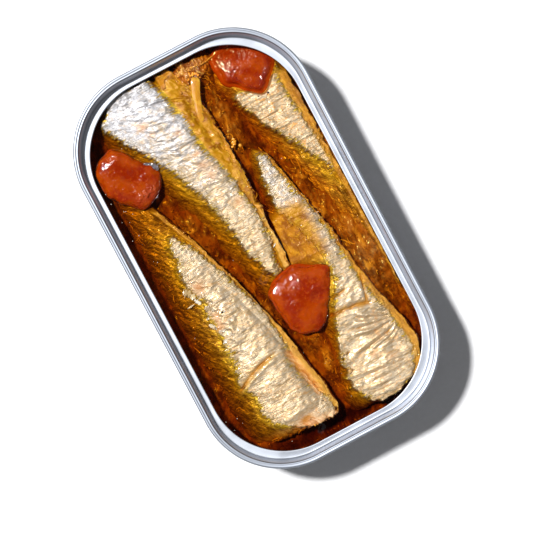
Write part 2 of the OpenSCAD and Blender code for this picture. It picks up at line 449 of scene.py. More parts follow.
def lid_ring():
    """The seam, its leaning wall and the ledge, carried round the tin."""
    points, widen = seam_profile()
    return surface("seam_ring", swept(points, widen, MOUTH_EXTRA_R, steps=(56, 90, 24)), ring=True)


def body_profile():
    """The drawn body: from the middle of the panel inside, out over its pressed
    step, up the wall, over its edge, down outside, round the foot, along the
    flat rim and back under the panel."""
    foot_r, foot_w, rise = 2.0, 3.2, 0.6
    edge = TOP - 0.53
    panel_in = SEAM_STEP + foot_r + foot_w
    points = [(17.5, FLOOR_Z + 0.45), (11.2, FLOOR_Z + 0.45), (10.7, FLOOR_Z + 0.38),
              (10.2, FLOOR_Z + 0.08), (9.7, FLOOR_Z), (panel_in + 0.5, FLOOR_Z),
              (panel_in + 0.1, FLOOR_Z - 0.1), (panel_in - 0.25, WALL_T + 0.1),
              (panel_in - 0.6, WALL_T)]
    points += arc(SEAM_STEP + foot_r, foot_r, foot_r - WALL_T, 270, 180, 9)
    points += [(SEAM_STEP + WALL_T, z) for z in np.linspace(4, edge, 8)]
    points += [(SEAM_STEP, z) for z in np.linspace(edge, 4, 8)]
    points += arc(SEAM_STEP + foot_r, foot_r, foot_r, 180, 270, 11)
    points += [(panel_in - 0.4, 0.0), (panel_in - 0.05, 0.08), (panel_in + 0.3, rise - 0.12),
               (panel_in + 0.7, rise), (9.5, rise), (10.0, rise + 0.08), (10.5, rise + 0.38),
               (11.0, rise + 0.45), (17.5, rise + 0.45)]
    return points


def can_body():
    """The drawn body, carried round the tin."""
    return surface("can_shell", swept(body_profile(), steps=(40, 60, 20)))


# ---- sardines --------------------------------------------------------------


def through(three, s):
    """The parabola through three values, at the start, the middle and the end."""
    a, b, c = three
    return a * (1 - s) * (1 - 2 * s) + b * 4 * s * (1 - s) + c * s * (2 * s - 1)


def half_width(y):
    """Half width of the space inside the tin at y, kept clear of the wall."""
    past = np.maximum(0, np.abs(y) - (INSIDE[1] - INSIDE_R))
    return INSIDE[0] - INSIDE_R + np.sqrt(np.maximum(0, INSIDE_R ** 2 - past ** 2)) - 0.1


class Sardine:
    """One fish: where its ends lie, how its crest runs and how far each flank
    reaches. Places count the space inside as 1 each way, and threes hold at the
    cut end, the middle and the tail."""

    BACK = 0.7       # height of the fattest backs over the oil
    LEAN = 0.3       # lean to the right, as run over rise
    TAIL_RISE = 7.0  # height of the tail's underside over the cut end's

    def __init__(self, ends, crest, left, right, drop, square):
        self.ends, self.crest, self.left, self.right = ends, crest, left, right
        self.drop, self.square = drop, square

    def sizes(self, s):
        """Everything that a section needs, at parts s of the length."""
        swell = np.sqrt(1 - 0.35 * (1 - np.minimum(s / 0.07, 1)) ** 2)
        y = INSIDE[1] * (self.ends[0] * (1 - s) + self.ends[1] * s)
        keel = FLOOR_Z + 0.1 + self.TAIL_RISE * s ** 2
        crest = keel + (LEVEL + self.BACK - through(self.drop, s) - keel) * swell
        waist = keel + 0.45 * (crest - keel)
        middle = INSIDE[0] * through(self.crest, s)
        limit = half_width(y)
        left = np.minimum(INSIDE[0] * through(self.left, s) * swell,
                          limit + middle - self.LEAN * 0.75 * (crest - keel))
        right = np.minimum(INSIDE[0] * through(self.right, s) * swell, limit - middle)
        return y, keel, crest, waist, middle, left, right

    def form(self, rows, over, under):
        """Rows of points: two quarter ovals above the waist and two below it,
        leant over to the right. Over and under count the points of each half."""
        s = np.linspace(0, 1, rows)[:, None]
        y, keel, crest, waist, middle, left, right = self.sizes(s)
        u = np.linspace(0, 1, over, endpoint=False)
        v = np.linspace(0, 1, under, endpoint=False)
        turn = np.concatenate([math.pi * u, math.pi * (1 + v)])[None, :]
        c, q = np.cos(turn), np.sin(turn)
        n = np.where(c < 0, through(self.square, s), 2.5)
        reach = np.where(c < 0, left, right)
        tall = np.where(q > 0, crest - waist, waist - keel)
        z = waist + np.sign(q) * np.abs(q) ** (2 / n) * tall
        x = middle + np.sign(c) * np.abs(c) ** (2 / n) * reach + self.LEAN * (z - crest)
        return np.stack([x, np.broadcast_to(y, x.shape), z], -1)


SARDINES = {
    "sardine_1": Sardine((0.935, -0.40), (-0.33, 0.01, 0.05), (0.46, 0.40, 0.13),
                         (0.55, 0.23, 0.12), (0, 0.3, 3.4), (2.5, 1.8, 1.8)),
    "sardine_2": Sardine((-0.875, 0.54), (-0.28, -0.42, -0.74), (0.46, 0.42, 0.12),
                         (0.38, 0.25, 0.07), (0, 0, 3.6), (2.4, 2.0, 1.8)),
    "sardine_3": Sardine((-0.92, 0.43), (0.43, 0.52, 0.36), (0.37, 0.29, 0.08),
                         (0.60, 0.22, 0.09), (0, 0.4, 1.4), (2.6, 1.9, 1.8)),
    "sardine_4": Sardine((0.86, -0.60), (0.60, 0.86, 0.93), (0.34, 0.24, 0.05),
                         (0.36, 0.12, 0.05), (0.2, 1.2, 3.2), (2.2, 2.0, 1.8)),
}

# How each fish looks from above. Rows give a Y, from the lowest up, and the left
# and right edges of its bright skin there.
BRIGHT = {
    "sardine_1": [(-9, 1.5, 1.8), (-5, -0.8, 2.6), (0, -2.4, 3.8), (5, -3.2, 4.7), (10, -4, 4.3),
                  (15, -5, 3.2), (20, -6.7, 2.2), (25, -8.6, 1.0), (30, -11.6, -0.8),
                  (36, -15.6, -0.8), (40, -18.5, -2.2), (44, -19.8, -3.0), (49, -15, -5)],
    "sardine_2": [(-45.5, -9, -0.8), (-41, -16, -0.8), (-37, -17.6, -3.8), (-32, -17.2, -5.2),
                  (-28, -19.4, -5.6), (-24, -18.4, -4.6), (-20, -18, -4.8), (-14, -17.6, -5.6),
                  (-10, -18.2, -6.6), (-6, -17.4, -8.2), (-2, -19.6, -10), (2, -19.8, -11.4),
                  (8, -18.8, -14.4), (12, -18.6, -16.6)],
    "sardine_3": [(-48, 10, 15), (-46, 7.6, 19.5), (-42, 5.0, 23), (-38, 5.2, 23.5), (-34, 6, 22.6),
                  (-30, 7.4, 22), (-26, 8.6, 21), (-22, 10.2, 19.6), (-16, 14.2, 18.9),
                  (-9, 14.6, 18.6), (-5, 12.6, 18.0), (0, 11.8, 17.4), (5, 9.2, 16.2),
                  (10, 9, 14.7), (15, 9.6, 13.8), (20, 10.6, 12.8)],
    "sardine_4": [(8, 26.0, 26.6), (11, 25, 27), (15, 23, 26.6), (20, 20, 25.8), (25, 17, 25.2),
                  (30, 14.6, 24.4), (33, 13, 24.4), (36, 12.4, 24.4)],
}
# How its creases lean, how deep they are, and how warm its silver looks.
TILT = {"sardine_1": 0.22, "sardine_2": -0.16, "sardine_3": -0.10, "sardine_4": 0.30}
CREASED = {"sardine_1": 1.0, "sardine_2": 0.62, "sardine_3": 0.8, "sardine_4": 0.8}
WARMTH = {"sardine_1": (1.1, 0.05), "sardine_2": (0.78, 0.50), "sardine_3": (0.80, 0.35),
          "sardine_4": (1.0, 1.5)}


# How much orange light its sunk flank gives back.
GLOW = {"sardine_1": 0.15, "sardine_2": 0.0, "sardine_3": 0.35, "sardine_4": 1.0}
# How fast its flank darkens away from the silver.
DARKENS = {"sardine_1": 0.85, "sardine_2": 2.1, "sardine_3": 1.3, "sardine_4": 1.0}
# How far the cut end is let out past its plain form.
END_OUT = {"sardine_1": 0.8, "sardine_2": 0.1, "sardine_3": 0.1, "sardine_4": 0.8}


def band(x, y, rows, soft):
    """1 between the left and right edges that the rows give, softly 0 outside."""
    ys, left, right = np.array(rows).T
    left, right = np.interp(y, ys, left), np.interp(y, ys, right)
    ends = smooth(ys[0] - 2, ys[0] + 1, y) * smooth(-ys[-1] - 1.5, -ys[-1] + 1, -y)
    return smooth(left - soft, left + soft, x) * smooth(-right - soft, -right + soft, -x) * ends


def past_edge(x, y, rows):
    """Millimetres past the nearest edge that the rows give, and below 0 inside."""
    ys, left, right = np.array(rows).T
    left, right = np.interp(y, ys, left), np.interp(y, ys, right)
    sides = np.maximum(left - x, x - right)
    return np.clip(np.maximum(sides, np.maximum(ys[0] - y, y - ys[-1])), -6, 12)


def sharp(x, y, seed, power=5):
    """Thin lines of height 1 where a wave passes through nothing."""
    return (1 - np.abs(wave(x, y, seed))) ** power


# Folds of each fish's skin, as folds reads them.
FOLDS = {
    "sardine_1": [((-14, 33.2), (-6.4, 30.2), 0.26, -0.3, -0.50),
                  ((-6.4, 30.2), (0.6, 30.6), 0.22, 0, -0.34),
                  ((-12, 32.6), (-5.6, 29.5), 0.38, -0.3, 0.30),
                  ((-6.2, 43.6), (2.4, 40.6), 0.24, -0.5, 0.34),
                  ((-6.2, 43.0), (2.2, 40.1), 0.26, -0.5, -0.26)],
    "sardine_2": [((-20, -29.6), (-8.6, -25.2), 0.40, -0.7, -0.60),
                  ((-20, -30.6), (-8, -26.2), 0.5, -0.7, 0.28)],
    "sardine_3": [((7.4, -23.6), (18.6, -24.8), 0.55, -0.5, -0.70),
                  ((18.2, -24.2), (19.9, -17.8), 0.30, 0, -0.55),
                  ((9.6, -19.9), (14.8, -19.2), 0.4, 0, -0.45)],
    "sardine_4": [],
}


def sardine_relief(name, x, y, across, along, bright):
    """Height to add to the skin, in millimetres: fine creases that run across the
    bright skin and turn along the flanks, soft lumps, and each fish's own folds."""
    left = np.maximum(0, -across - 3.5)
    right = np.maximum(0, across - 5.0)
    bent = along + TILT[name] * across - 0.14 * left ** 2 + 0.10 * right ** 2
    warp = 0.7 * wave(across / 3.1, along / 2.3, 3)
    patch = smooth(-0.45, 0.5, cloud(across / 4.0, along / 4.8, 31))
    lumps = cloud(across / 2.3, along / 2.9, 41)
    cross = CREASED[name] * (
        0.24 * cloud(across / 3.6 + warp, bent / 1.3, 11, 3)
        - 0.15 * patch * sharp(across / 3.8 + warp, bent / 1.3 + 0.6 * wave(across / 1.2, bent, 15), 13, 7)
        + 0.09 * (1 - patch) * sharp(across / 1.9, bent / 1.1 + warp, 17, 4))
    slant = (across + 0.38 * along) / 0.62 + 1.4 * wave(across / 2.2, along / 1.7, 69)
    flank = (0.18 * cloud(slant / 1.9, along / 2.4, 61, 3)
             + 0.08 * patch * sharp(slant * 0.6, along / 1.8, 63, 4)
             - 0.05 * sharp(slant * 0.6, along / 2.6, 65, 4))
    h = bright * cross + (1 - bright) * flank + 0.20 * lumps + folds(x, y, FOLDS[name])
    if name == "sardine_1":
        seam = to_line(x, y, ((3.0, 18.0), (5.4, -3.0)), sag=-0.9)[0]
        h -= 0.42 * np.exp(-(seam / 0.3) ** 2) * smooth(-6, 0, y) * smooth(-20, -15, -y)
        inner = np.interp(y, [-20, 0, 12, 20, 30, 45], [3.6, 4.2, 4.4, 2.6, 0.2, -1.6])
        fat = smooth(-0.6, 1.2, x - inner)
        h += fat * (0.34 + 0.30 * sharp(across / 1.5, along / 2.4, 71, 2) + 0.30 * lumps)
    if name == "sardine_2":
        ragged = np.interp(y, [-20, -17, -14, -10, -6, -3, 0, 3],
                           [-16.5, -15.4, -16.6, -15.8, -17, -16.2, -17.8, -17.6])
        rip = x - ragged - 1.2 * wave(y / 1.0, x / 2.2, 81) - 0.6 * wave(y / 0.4, x, 83)
        torn = smooth(-20.5, -17.5, y) * smooth(-4.5, -1.5, -y)
        h += 0.42 * torn * smooth(-0.3, 0.3, rip) * smooth(-4.5, -0.5, -rip)
        strip = to_line(x, y, ((-5.4, -25.6), (-2.6, -39.5)))
        within = smooth(-0.05, 0.1, strip[1]) * smooth(-1.05, -0.9, -strip[1])
        h -= 0.34 * np.exp(-(strip[0] / 0.8) ** 4) * within
        h -= 0.6 * hump(x, y, -8.8, -43.6, 2.4, 1.6, 0.3)
    if name == "sardine_3":
        fan = np.arctan2(y + 31.5, 25.5 - x)
        spread = (smooth(-1, 2, x - 6) * smooth(-22.0, -19.5, -x)
                  * smooth(-37, -34, y) * smooth(24.5, 27.5, -y))
        h += spread * 0.30 * np.sin(fan * 30 + 2.2 * wave(x / 4, y / 2.4, 91)) * smooth(0, 4, 25 - x)
        rolled = wave((y + 0.12 * x) / 0.95 + 0.8 * wave(x / 5, y / 4, 93), x / 6.0, 92)
        h += 0.34 * rolled * smooth(33.5, 37, -y) * (0.3 + 0.7 * bright)
        h += 0.30 * hump(x, y, 12.4, -21.8, 2.4, 1.7) + 0.30 * hump(x, y, 18.2, -21.0, 0.8, 1.6)
        net = smooth(-11, -7, y) * smooth(-9, -5, -y) * smooth(8.5, 10.5, x)
        h += net * 0.42 * (sharp(x / 2.0 + 0.25 * y, y / 1.7, 95, 3) - 0.3)
    if name == "sardine_4":
        h += 0.20 * (sharp(across / 3.4, along / 1.3, 97, 3) - 0.4) * bright
        h += 0.40 * (1 - bright) * (sharp(across / 1.0, along / 9.0, 99, 2) - 0.5) * smooth(-24, -10, -y)
    return h


SKIN_OVER = 0.36    # bright skin over the oil, about the least
FAT_OVER = -0.04    # fat over the oil, about the least
KEPT = 0.6          # share of the relief that such lifted skin keeps
TRENCH = 1.2        # how far below the oil the skin lies under a tomato piece


def sardine(name, rows=380, over=190, under=24):
    """A fish with its skin's relief, and the marks that its finish reads."""
    fish = SARDINES[name]
    plain = fish.form(rows, over, under)
    s = np.linspace(0, 1, rows)[:, None]
    tip = np.sqrt(1 - np.clip((s - 0.94) / 0.06, 0, 0.995) ** 2)
    middle = plain[..., 0].mean(axis=1, keepdims=True)
    plain[..., 0] = middle + (plain[..., 0] - middle) * tip
    plain[..., 2] -= 1.6 * (1 - tip)
    x, y, z = np.moveaxis(plain, -1, 0)
    steps = np.linalg.norm(np.diff(plain[:, :over], axis=1), axis=-1)
    arc_x = np.concatenate([np.zeros((rows, 1)), np.cumsum(steps, axis=1)], axis=1)
    middle = arc_x[:, over // 2][:, None]
    across = np.zeros((rows, over + under))
    across[:, :over] = middle - arc_x
    across[:, over:] = np.linspace(across[:, over - 1], across[:, 0], under, axis=1)
    sx, sy = x * PLAN[0] / INSIDE[0], y * PLAN[1] / INSIDE[1]
    along = sy * math.hypot(1, (fish.crest[2] - fish.crest[0]) * 0.5)
    ragged = 0.7 * cloud(sx / 1.6, sy / 1.3, 5) + 0.35 * wave(sx / 0.5, sy / 0.4, 7)
    bright = band(sx + 1.3 * ragged, sy, BRIGHT[name], 1.5)
    off = past_edge(sx + 0.8 * ragged, sy, BRIGHT[name])
    off = np.where(off > 0, off * DARKENS[name], off)
    fat = fat_mark(name, sx + 0.3 * ragged, sy)
    h = sardine_relief(name, sx, sy, across, along, bright)
    cut = smooth(0, 0.035, np.linspace(0, 1, rows))[:, None]
    top = smooth(0.0, 2.5, z - fish.sizes(np.linspace(0, 1, rows)[:, None])[3])
    h = h * cut * top + (1 - cut) * (END_OUT[name] + 0.5 * cloud(x / 1.4, z / 1.2, 9)) * top
    points = plain + h[..., None] * normals(plain)
    lack = np.maximum(0, LEVEL + SKIN_OVER + KEPT * h - points[..., 2])
    points[..., 2] += 0.9 * smooth(0, 0.7, bright) * lack
    lack = np.maximum(0, LEVEL + FAT_OVER + KEPT * h - points[..., 2])
    points[..., 2] += 0.9 * fat * lack * (z > LEVEL - 6)
    for tomato_name in TOMATOES:
        near = part_out(tomato_name, sx, sy)
        points[..., 2] -= smooth(1.03, 0.96, near) * np.maximum(0, points[..., 2] - LEVEL + TRENCH)
    limit = np.array([INSIDE[0] - 0.02, INSIDE[1] - 0.02])
    points[..., :2] = np.clip(points[..., :2], -limit, limit)
    lay = np.stack([across, along, z], -1)
    low_end, high_end = WARMTH[name]
    warm = low_end + (high_end - low_end) * (sy - sy.min()) / (sy.max() - sy.min())
    marks = {"lay": lay, "off": off, "fat": fat, "flesh": flesh_mark(name, sx + 0.4 * ragged, sy),
             "rise": h, "warm": warm, "glow": np.full_like(h, GLOW[name])}
    return surface(name + "_skin", points, marks)


# Rows like those of BRIGHT, for the band of clear fat along each fish's right side.
FATTY = {
    "sardine_1": [(-20, 3.2, 4.4), (-8, 3.6, 4.9), (0, 4.4, 6.1), (5, 4.8, 6.0), (10, 4.6, 5.3),
                  (14, 3.9, 5.4), (20, 2.7, 6.0), (25, 1.2, 6.0), (30, 0.2, 5.3), (38, -0.8, 4.8),
                  (43, -1.8, 4.2), (49, -3.0, 0.8)],
    "sardine_2": [(-45, -0.6, 0.3), (-38, -2.2, -0.2), (-30, -4.2, -1.8), (-20, -4.6, -3.4),
                  (-12, -6.2, -5.2), (-6, -8.0, -6.6), (0, -10.6, -9.4), (8, -13.6, -12.2), (20, -19, -17.6)],
    "sardine_3": [(-47, 19, 21), (-44, 21.5, 23.6), (-38, 23.2, 25.4), (-32, 22.3, 24.7),
                  (-24, 20.4, 22.2), (-16, 19.0, 20.4), (-8, 18.4, 19.3), (0, 17.4, 18.3),
                  (5, 16.4, 17.2), (12, 14.4, 15.2), (20, 12.8, 14)],
    "sardine_4": [(-24, 27.2, 28.0), (6, 26.4, 27.8), (20, 25.7, 27.6), (36, 24.4, 27.4)],
}


def fat_mark(name, x, y):
    """Where the skin lets clear yellow fat show."""
    side = band(x, y, FATTY[name], 0.35)
    broken = smooth(-0.7, 0.3, cloud(x / 1.6, y / 1.1, 103))
    if name == "sardine_2":
        return np.maximum(side, broken * groove(x, y, ((-20, -29.8), (-8.6, -25.4)), 0.8, sag=-0.7))
    if name == "sardine_3":
        valley = groove(x, y, ((7.4, -23.4), (18.8, -24.8)), 0.8, sag=-0.5)
        vee = groove(x, y, ((18.2, -24.2), (19.9, -17.8)), 0.5)
        net = smooth(-11.5, -7.5, y) * smooth(-8, -3.5, -y) * smooth(-17.5, -13.5, -x)
        return np.clip(side + broken * (valley + vee) + net, 0, 1)
    return side


# Spots where the skin is rubbed off, as humps reads them, and how bare they are.
BARE = {
    "sardine_1": (0.8, [(1, -4.0, 34.1, 0.9, 0.7), (1, -11.2, 39.4, 1.2, 0.9), (1, -9.8, 36.8, 0.9, 0.5),
                        (1, -2.0, 24.2, 1.7, 1.1), (1, -1.4, 21.2, 1.5, 1.2), (1, 1.6, 12.4, 1.3, 1.1),
                        (1, -2.4, 27.4, 1.3, 0.6)]),
    "sardine_2": (1.0, [(1, -17.3, -1.9, 1.7, 1.5), (1, -16.6, -10.8, 1.0, 1.6), (1, -17.2, -13.2, 1.1, 1.0),
                        (1, -8.8, -43.4, 2.6, 1.6, 0.3)]),
    "sardine_3": (0.7, [(1, 17.6, -39.2, 1.4, 0.7), (1, 6.4, -43.0, 0.7, 0.5), (1, 13.4, -36.8, 1.6, 0.5)]),
    "sardine_4": (0.0, []),
}


def flesh_mark(name, x, y):
    """Where the skin is torn or rubbed away and bare flesh shows."""
    how_bare, spots = BARE[name]
    bare = np.zeros_like(x) + humps(x, y, spots)
    if name == "sardine_2":
        strip, part = to_line(x, y, ((-5.4, -25.6), (-2.6, -39.5)))
        peeled = np.exp(-(strip / 0.95) ** 4) * smooth(-0.05, 0.1, part) * smooth(-1.05, -0.9, -part)
        cut = 0.9 * smooth(43.6, 45.2, -y - 0.10 * (x + 2))
        bare = bare + peeled + cut
    return how_bare * np.clip(bare, 0, 1)


# ---- heights seen from above -----------------------------------------------


class Tops:
    """The highest point of everything solid over a grid of small squares."""

    STEP = 0.35

    def __init__(self, *clouds):
        self.half = np.array([32.0, 54.0])
        shape = (2 * self.half / self.STEP).astype(int) + 2
        self.grid = np.full(shape, FLOOR_Z)
        for points in clouds:
            flat = points.reshape(-1, 3)
            i, j = self.cells(flat[:, 0], flat[:, 1])
            np.maximum.at(self.grid, (i, j), flat[:, 2])

    def cells(self, x, y):
        """The square that each place lies in, as two whole numbers."""
        at = [np.rint((v + h) / self.STEP).astype(int) for v, h in zip((x, y), self.half)]
        return [np.clip(a, 0, n - 1) for a, n in zip(at, self.grid.shape)]

    def softened(self, times):
        """The heights, each blended so many times with its four neighbours."""
        g = self.grid
        for _ in range(times):
            g = (g + np.roll(g, 1, 0) + np.roll(g, -1, 0) + np.roll(g, 1, 1) + np.roll(g, -1, 1)) / 5
        return g

    def at(self, x, y):
        """The height at a place."""
        return self.grid[tuple(self.cells(np.asarray(x), np.asarray(y)))]


def points_of(piece):
    """A piece's points, in millimetres."""
    co = np.empty(len(piece.data.vertices) * 3, np.float32)
    piece.data.vertices.foreach_get("co", co)
    return co.reshape(-1, 3) / MM


# ---- bed, tomato, strip and loose flesh ------------------------------------


def slab(name, top, low, cols=150, rows=260, inset=0.04, key=None):
    """A slab that fills the tin's plan. Its top is a height worked out at every
    place, and its underside lies flat at low."""
    v = np.linspace(-1, 1, rows)[:, None]
    y = np.broadcast_to(v * (INSIDE[1] - inset - 0.1), (rows, cols))
    side = half_width(y) + 0.1 - inset
    x = np.linspace(1, -1, cols)[None, :] * side
    over = np.stack([x, y, top(x, y)], -1)
    back = np.linspace(-1, 1, 8)[None, :]
    yb = y[:, :8]
    under = np.stack([back * side[:, :8], yb, np.full_like(yb, low)], -1)
    marks = {} if key is None else key(np.concatenate([over, under], 1))
    return surface(name, np.concatenate([over, under], 1), marks)


# Where the bed of flesh lies higher, or lower at the near end, as humps reads it.
SHALLOWS = [(4.4, 8.2, 31, 4.2, 14), (3.4, -11, 8, 5, 12), (3.0, 21, -8, 5, 18), (4.0, 3, -32, 4, 9),
            (4.2, 5.5, 46, 7, 4), (2.6, 17, 8, 4, 14), (3.0, -5, -16, 3, 8), (2.6, 14, 47, 8, 3),
            (4.2, 23.5, -16, 3, 12), (-4.0, -8, -49, 24, 3.0), (7.0, 28, 2, 2.4, 26),
            (4.6, -28.6, -8, 2.6, 40)]
BED_DEEP = 4.6      # how far below the oil the bed lies between its drifts
BED_COVER = 1.2     # oil over the bed, about the least


def bed_top(x, y):
    """Shreds of flesh in drifts, with lumps, and fibres that run along the tin."""
    fibres = ridges(x / 0.9 + wave(x / 3, y / 5), y / 4.2, 203) ** 3
    lumps = 0.9 * cloud(x / 2.4, y / 3.4, 201, 4) + 0.5 * fibres
    deep = LEVEL - BED_DEEP + 0.6 * humps(x, y, SHALLOWS) + lumps
    return np.minimum(deep, LEVEL - BED_COVER + 0.3 * lumps)


def bed_marks(points):
    """What the bed's finish reads."""
    return {"lay": points, "lump": cloud(points[..., 0] / 1.6, points[..., 1] / 2.8, 207, 4)}


def bed():
    """The flaked flesh between the fish, as one slab over the base panel."""
    return slab("flesh_bed", bed_top, FLOOR_Z + 0.3, inset=1.2, key=bed_marks)


# Middle, and the flat sides of its outline: the way each side faces, in degrees,
# and its distance from the middle, in mm.
TOMATOES = {
    "tomato_1": ((18.3, 41.3), [(180, 7.2), (-130, 6.1), (-45, 7.4), (10, 7.5), (58, 8.4), (105, 7.8)]),
    "tomato_2": ((-19.8, 29.5), [(38, 5.4), (-26, 7.9), (-68, 7.9), (-139, 6.2), (180, 7.3), (125, 8.5)]),
    "tomato_3": ((5.3, -16.4), [(180, 8.1), (112, 8.7), (60, 8.1), (-33, 5.5), (-98, 9.0), (-150, 8.9)]),
}
TOMATO_T = 4.6       # thickness of their middles
PROUD = 0.95         # height of the tomato pieces over the oil
TOMATO_MOST = 1.25   # height over the oil that their lumps may reach
# Where each of them is rough, as humps reads it.
PITTED = {
    "tomato_1": [(1, 14.6, 45.4, 0.6, 2.0, 0.3), (1, 16.2, 41.8, 0.5, 1.2), (0.5, 21.0, 44.4, 2.0, 1.6)],
    "tomato_2": [(1, -17.6, 24.4, 3.0, 1.3, 0.35), (0.8, -22.4, 36.3, 1.6, 0.7)],
    "tomato_3": [(1, 4.6, -12.6, 1.2, 0.9, 0.5), (0.8, 6.2, -10.2, 1.0, 0.4),
                 (0.7, 1.4, -11.6, 0.5, 2.0, 0.5), (0.6, 1.9, -16.2, 0.8, 0.5)],
}


def soft_polygon(a, sides, power=9):
    """Reach of an outline with flat sides and soft corners in the direction a:
    the sides' pulls are raised to a power and added, as in a superellipse."""
    pull = sum((np.maximum(0, np.cos(a - math.radians(way))) / reach) ** power for way, reach in sides)
    return pull ** (-1 / power)


def part_out(name, x, y):
    """How far out of a tomato piece's middle a place is, where its outline is 1."""
    (cx, cy), sides = TOMATOES[name]
    return np.hypot(x - cx, y - cy) / soft_polygon(np.arctan2(y - cy, x - cx), sides)


def tomato(name):
    """A soft, wet piece of tomato: a flattened ball over a soft polygon, with broad
    dents, and small pits as rough as orange peel where its skin is off."""
    (cx, cy), sides = TOMATOES[name]
    rows, cols = 130, 190
    lift = np.linspace(-0.497, 0.497, rows)[:, None] * math.pi
    a = np.linspace(0, TAU, cols, endpoint=False)[None, :]
    r = np.cos(lift) ** 0.42 * soft_polygon(a, sides)
    sx, sy = cx + r * np.cos(a), cy + r * np.sin(a)
    x, y = spot(sx, sy)
    y = np.clip(y, -INSIDE[1] + 0.1, INSIDE[1] - 0.1)
    x = np.clip(x, -half_width(y), half_width(y))
    lift = np.broadcast_to(np.sin(lift), x.shape)
    z = LEVEL + PROUD - TOMATO_T / 2 * (1 - lift)
    plain = np.stack([x, y, z], -1)
    seed = 300 + 10 * int(name[-1])
    over = smooth(-0.2, 0.5, lift)
    rim = 1 - smooth(0.55, 0.95, lift)
    h = 0.22 * cloud(sx / 4.5, sy / 4.5, seed) * over + 0.34 * wave(sx / 2.0, sy / 2.0, seed + 1) * rim
    if name == "tomato_1":
        h -= (0.7 + 1.0 * smooth(40, 47, sy)) * over
    if name == "tomato_2":
        h += -0.32 * groove(sx, sy, ((-20.8, 30.4), (-19.6, 27.6)), 0.35, sag=0.2)
        h += humps(sx, sy, [(0.34, -22.5, 35.2, 3.4, 2.2), (-0.26, -17.5, 29.8, 2.6, 1.6)])
    if name == "tomato_3":
        ring = np.hypot(sx - 8.3, (sy + 17.4) * 1.15)
        h += -0.40 * np.exp(-(ring / 1.5) ** 2) + 0.14 * np.exp(-((ring - 2.4) / 0.7) ** 2)
    pits = np.clip(humps(sx, sy, PITTED[name]), 0, 1)
    peel = wave(sx / 0.42, sy / 0.42, seed + 2) + 0.9 * wave(sx / 0.8, sy / 0.8, seed + 3)
    h += over * 0.22 * pits * peel
    h += over * (0.05 * wave(sx / 0.9, sy / 0.9, seed + 4) + 0.02 * wave(sx / 0.4, sy / 0.4, seed + 5))
    points = plain + (h * np.where(lift > -0.3, 1, 0.3))[..., None] * normals(plain)
    points[..., 2] = np.minimum(points[..., 2], LEVEL + TOMATO_MOST)
    side = half_width(points[..., 1])
    points[..., 0] = np.clip(points[..., 0], -side, side)
    return surface(name + "_flesh", points, {"pits": pits, "lift": lift})


def fin_strip():
    """A loose strip of fin: a flat oval section on a gentle bend, wider and split
    into lobes at its far end, with ribs along it."""
    rows, cols = 150, 60
    t = np.linspace(0, 1, rows)[:, None]
    a = np.linspace(0, TAU, cols, endpoint=False)[None, :]
    mx, my = spot(6.2 - 3.4 * t - 0.5 * np.sin(math.pi * t), 44.4 - 10.6 * t)
    dx, dy = np.gradient(mx, axis=0), np.gradient(my, axis=0)
    norm = np.hypot(dx, dy)
    nx, ny = -dy / norm, dx / norm
    ends = np.sqrt(1 - np.abs(2 * t - 1) ** 9)
    width = (1.02 + 0.22 * smooth(0.6, 0, t) - 0.18 * smooth(0.55, 1, t)) * ends
    lobes = 1 + 0.16 * smooth(0.25, 0, t) * np.cos(3 * a)
    u = width * np.cos(a) * lobes
    ribs = 0.004 * np.cos(u * 9 + 1.5 * wave(t * 4, a * 0)) * (np.sin(a) > 0)
    thick = 0.35 * ends
    z = LEVEL + 0.05 + thick * np.sin(a) + ribs + 0.10 * (u ** 2) * 0.6 + 0.06 * wave(t * 5, u / 2, 401)
    z = np.clip(z, LEVEL - 0.3, LEVEL + 0.62)
    torn = 0.22 * wave(a / 0.5, t * 3, 403) * smooth(0.12, 0, t)
    points = np.stack([mx + nx * u, my + ny * u + torn, z], -1)
    return surface("fin_strip_bent", points, {"lay": np.stack([u, np.broadcast_to(t * 11, u.shape), z], -1)})


def loose_flesh():
    """A small heap of shredded flesh: a flattened ball whose outline has four soft
    corners, broken up by flakes and fibres."""
    rows, cols = 110, 180
    wide, deep, thick, turn = 6.2, 3.4, 4.6, math.radians(8)
    lift = np.linspace(-0.497, 0.497, rows)[:, None] * math.pi
    a = np.linspace(0, TAU, cols, endpoint=False)[None, :]
    r = np.cos(lift) ** 0.7 * (1 + 0.08 * np.cos(4 * a))
    u, v = wide * r * np.cos(a), deep * r * np.sin(a)
    x = INSIDE[0] * 0.18 + u * math.cos(turn) - v * math.sin(turn)
    y = INSIDE[1] * 0.885 + u * math.sin(turn) + v * math.cos(turn)
    y = np.clip(y, -INSIDE[1] + 0.1, INSIDE[1] - 0.1)
    x = np.clip(x, -half_width(y), half_width(y))
    lift = np.broadcast_to(np.sin(lift), x.shape)
    z = LEVEL - 0.1 - thick / 2 * (1 - lift)
    plain = np.stack([x, y, z], -1)
    h = 0.6 * cloud(x / 1.5, y / 1.2, 501, 4) + 0.4 * (ridges(x / 0.8, y / 2.0 + 0.4 * x, 503) ** 3 - 0.3)
    points = plain + (h * smooth(-0.5, 0.3, lift))[..., None] * normals(plain)
    points[..., 1] = np.minimum(points[..., 1], INSIDE[1] - 0.1)
    points[..., 2] = np.minimum(points[..., 2], LEVEL + 0.25)
    return surface("loose_flesh_heap", points, {"lay": points, "lump": h})


# ---- small things ----------------------------------------------------------


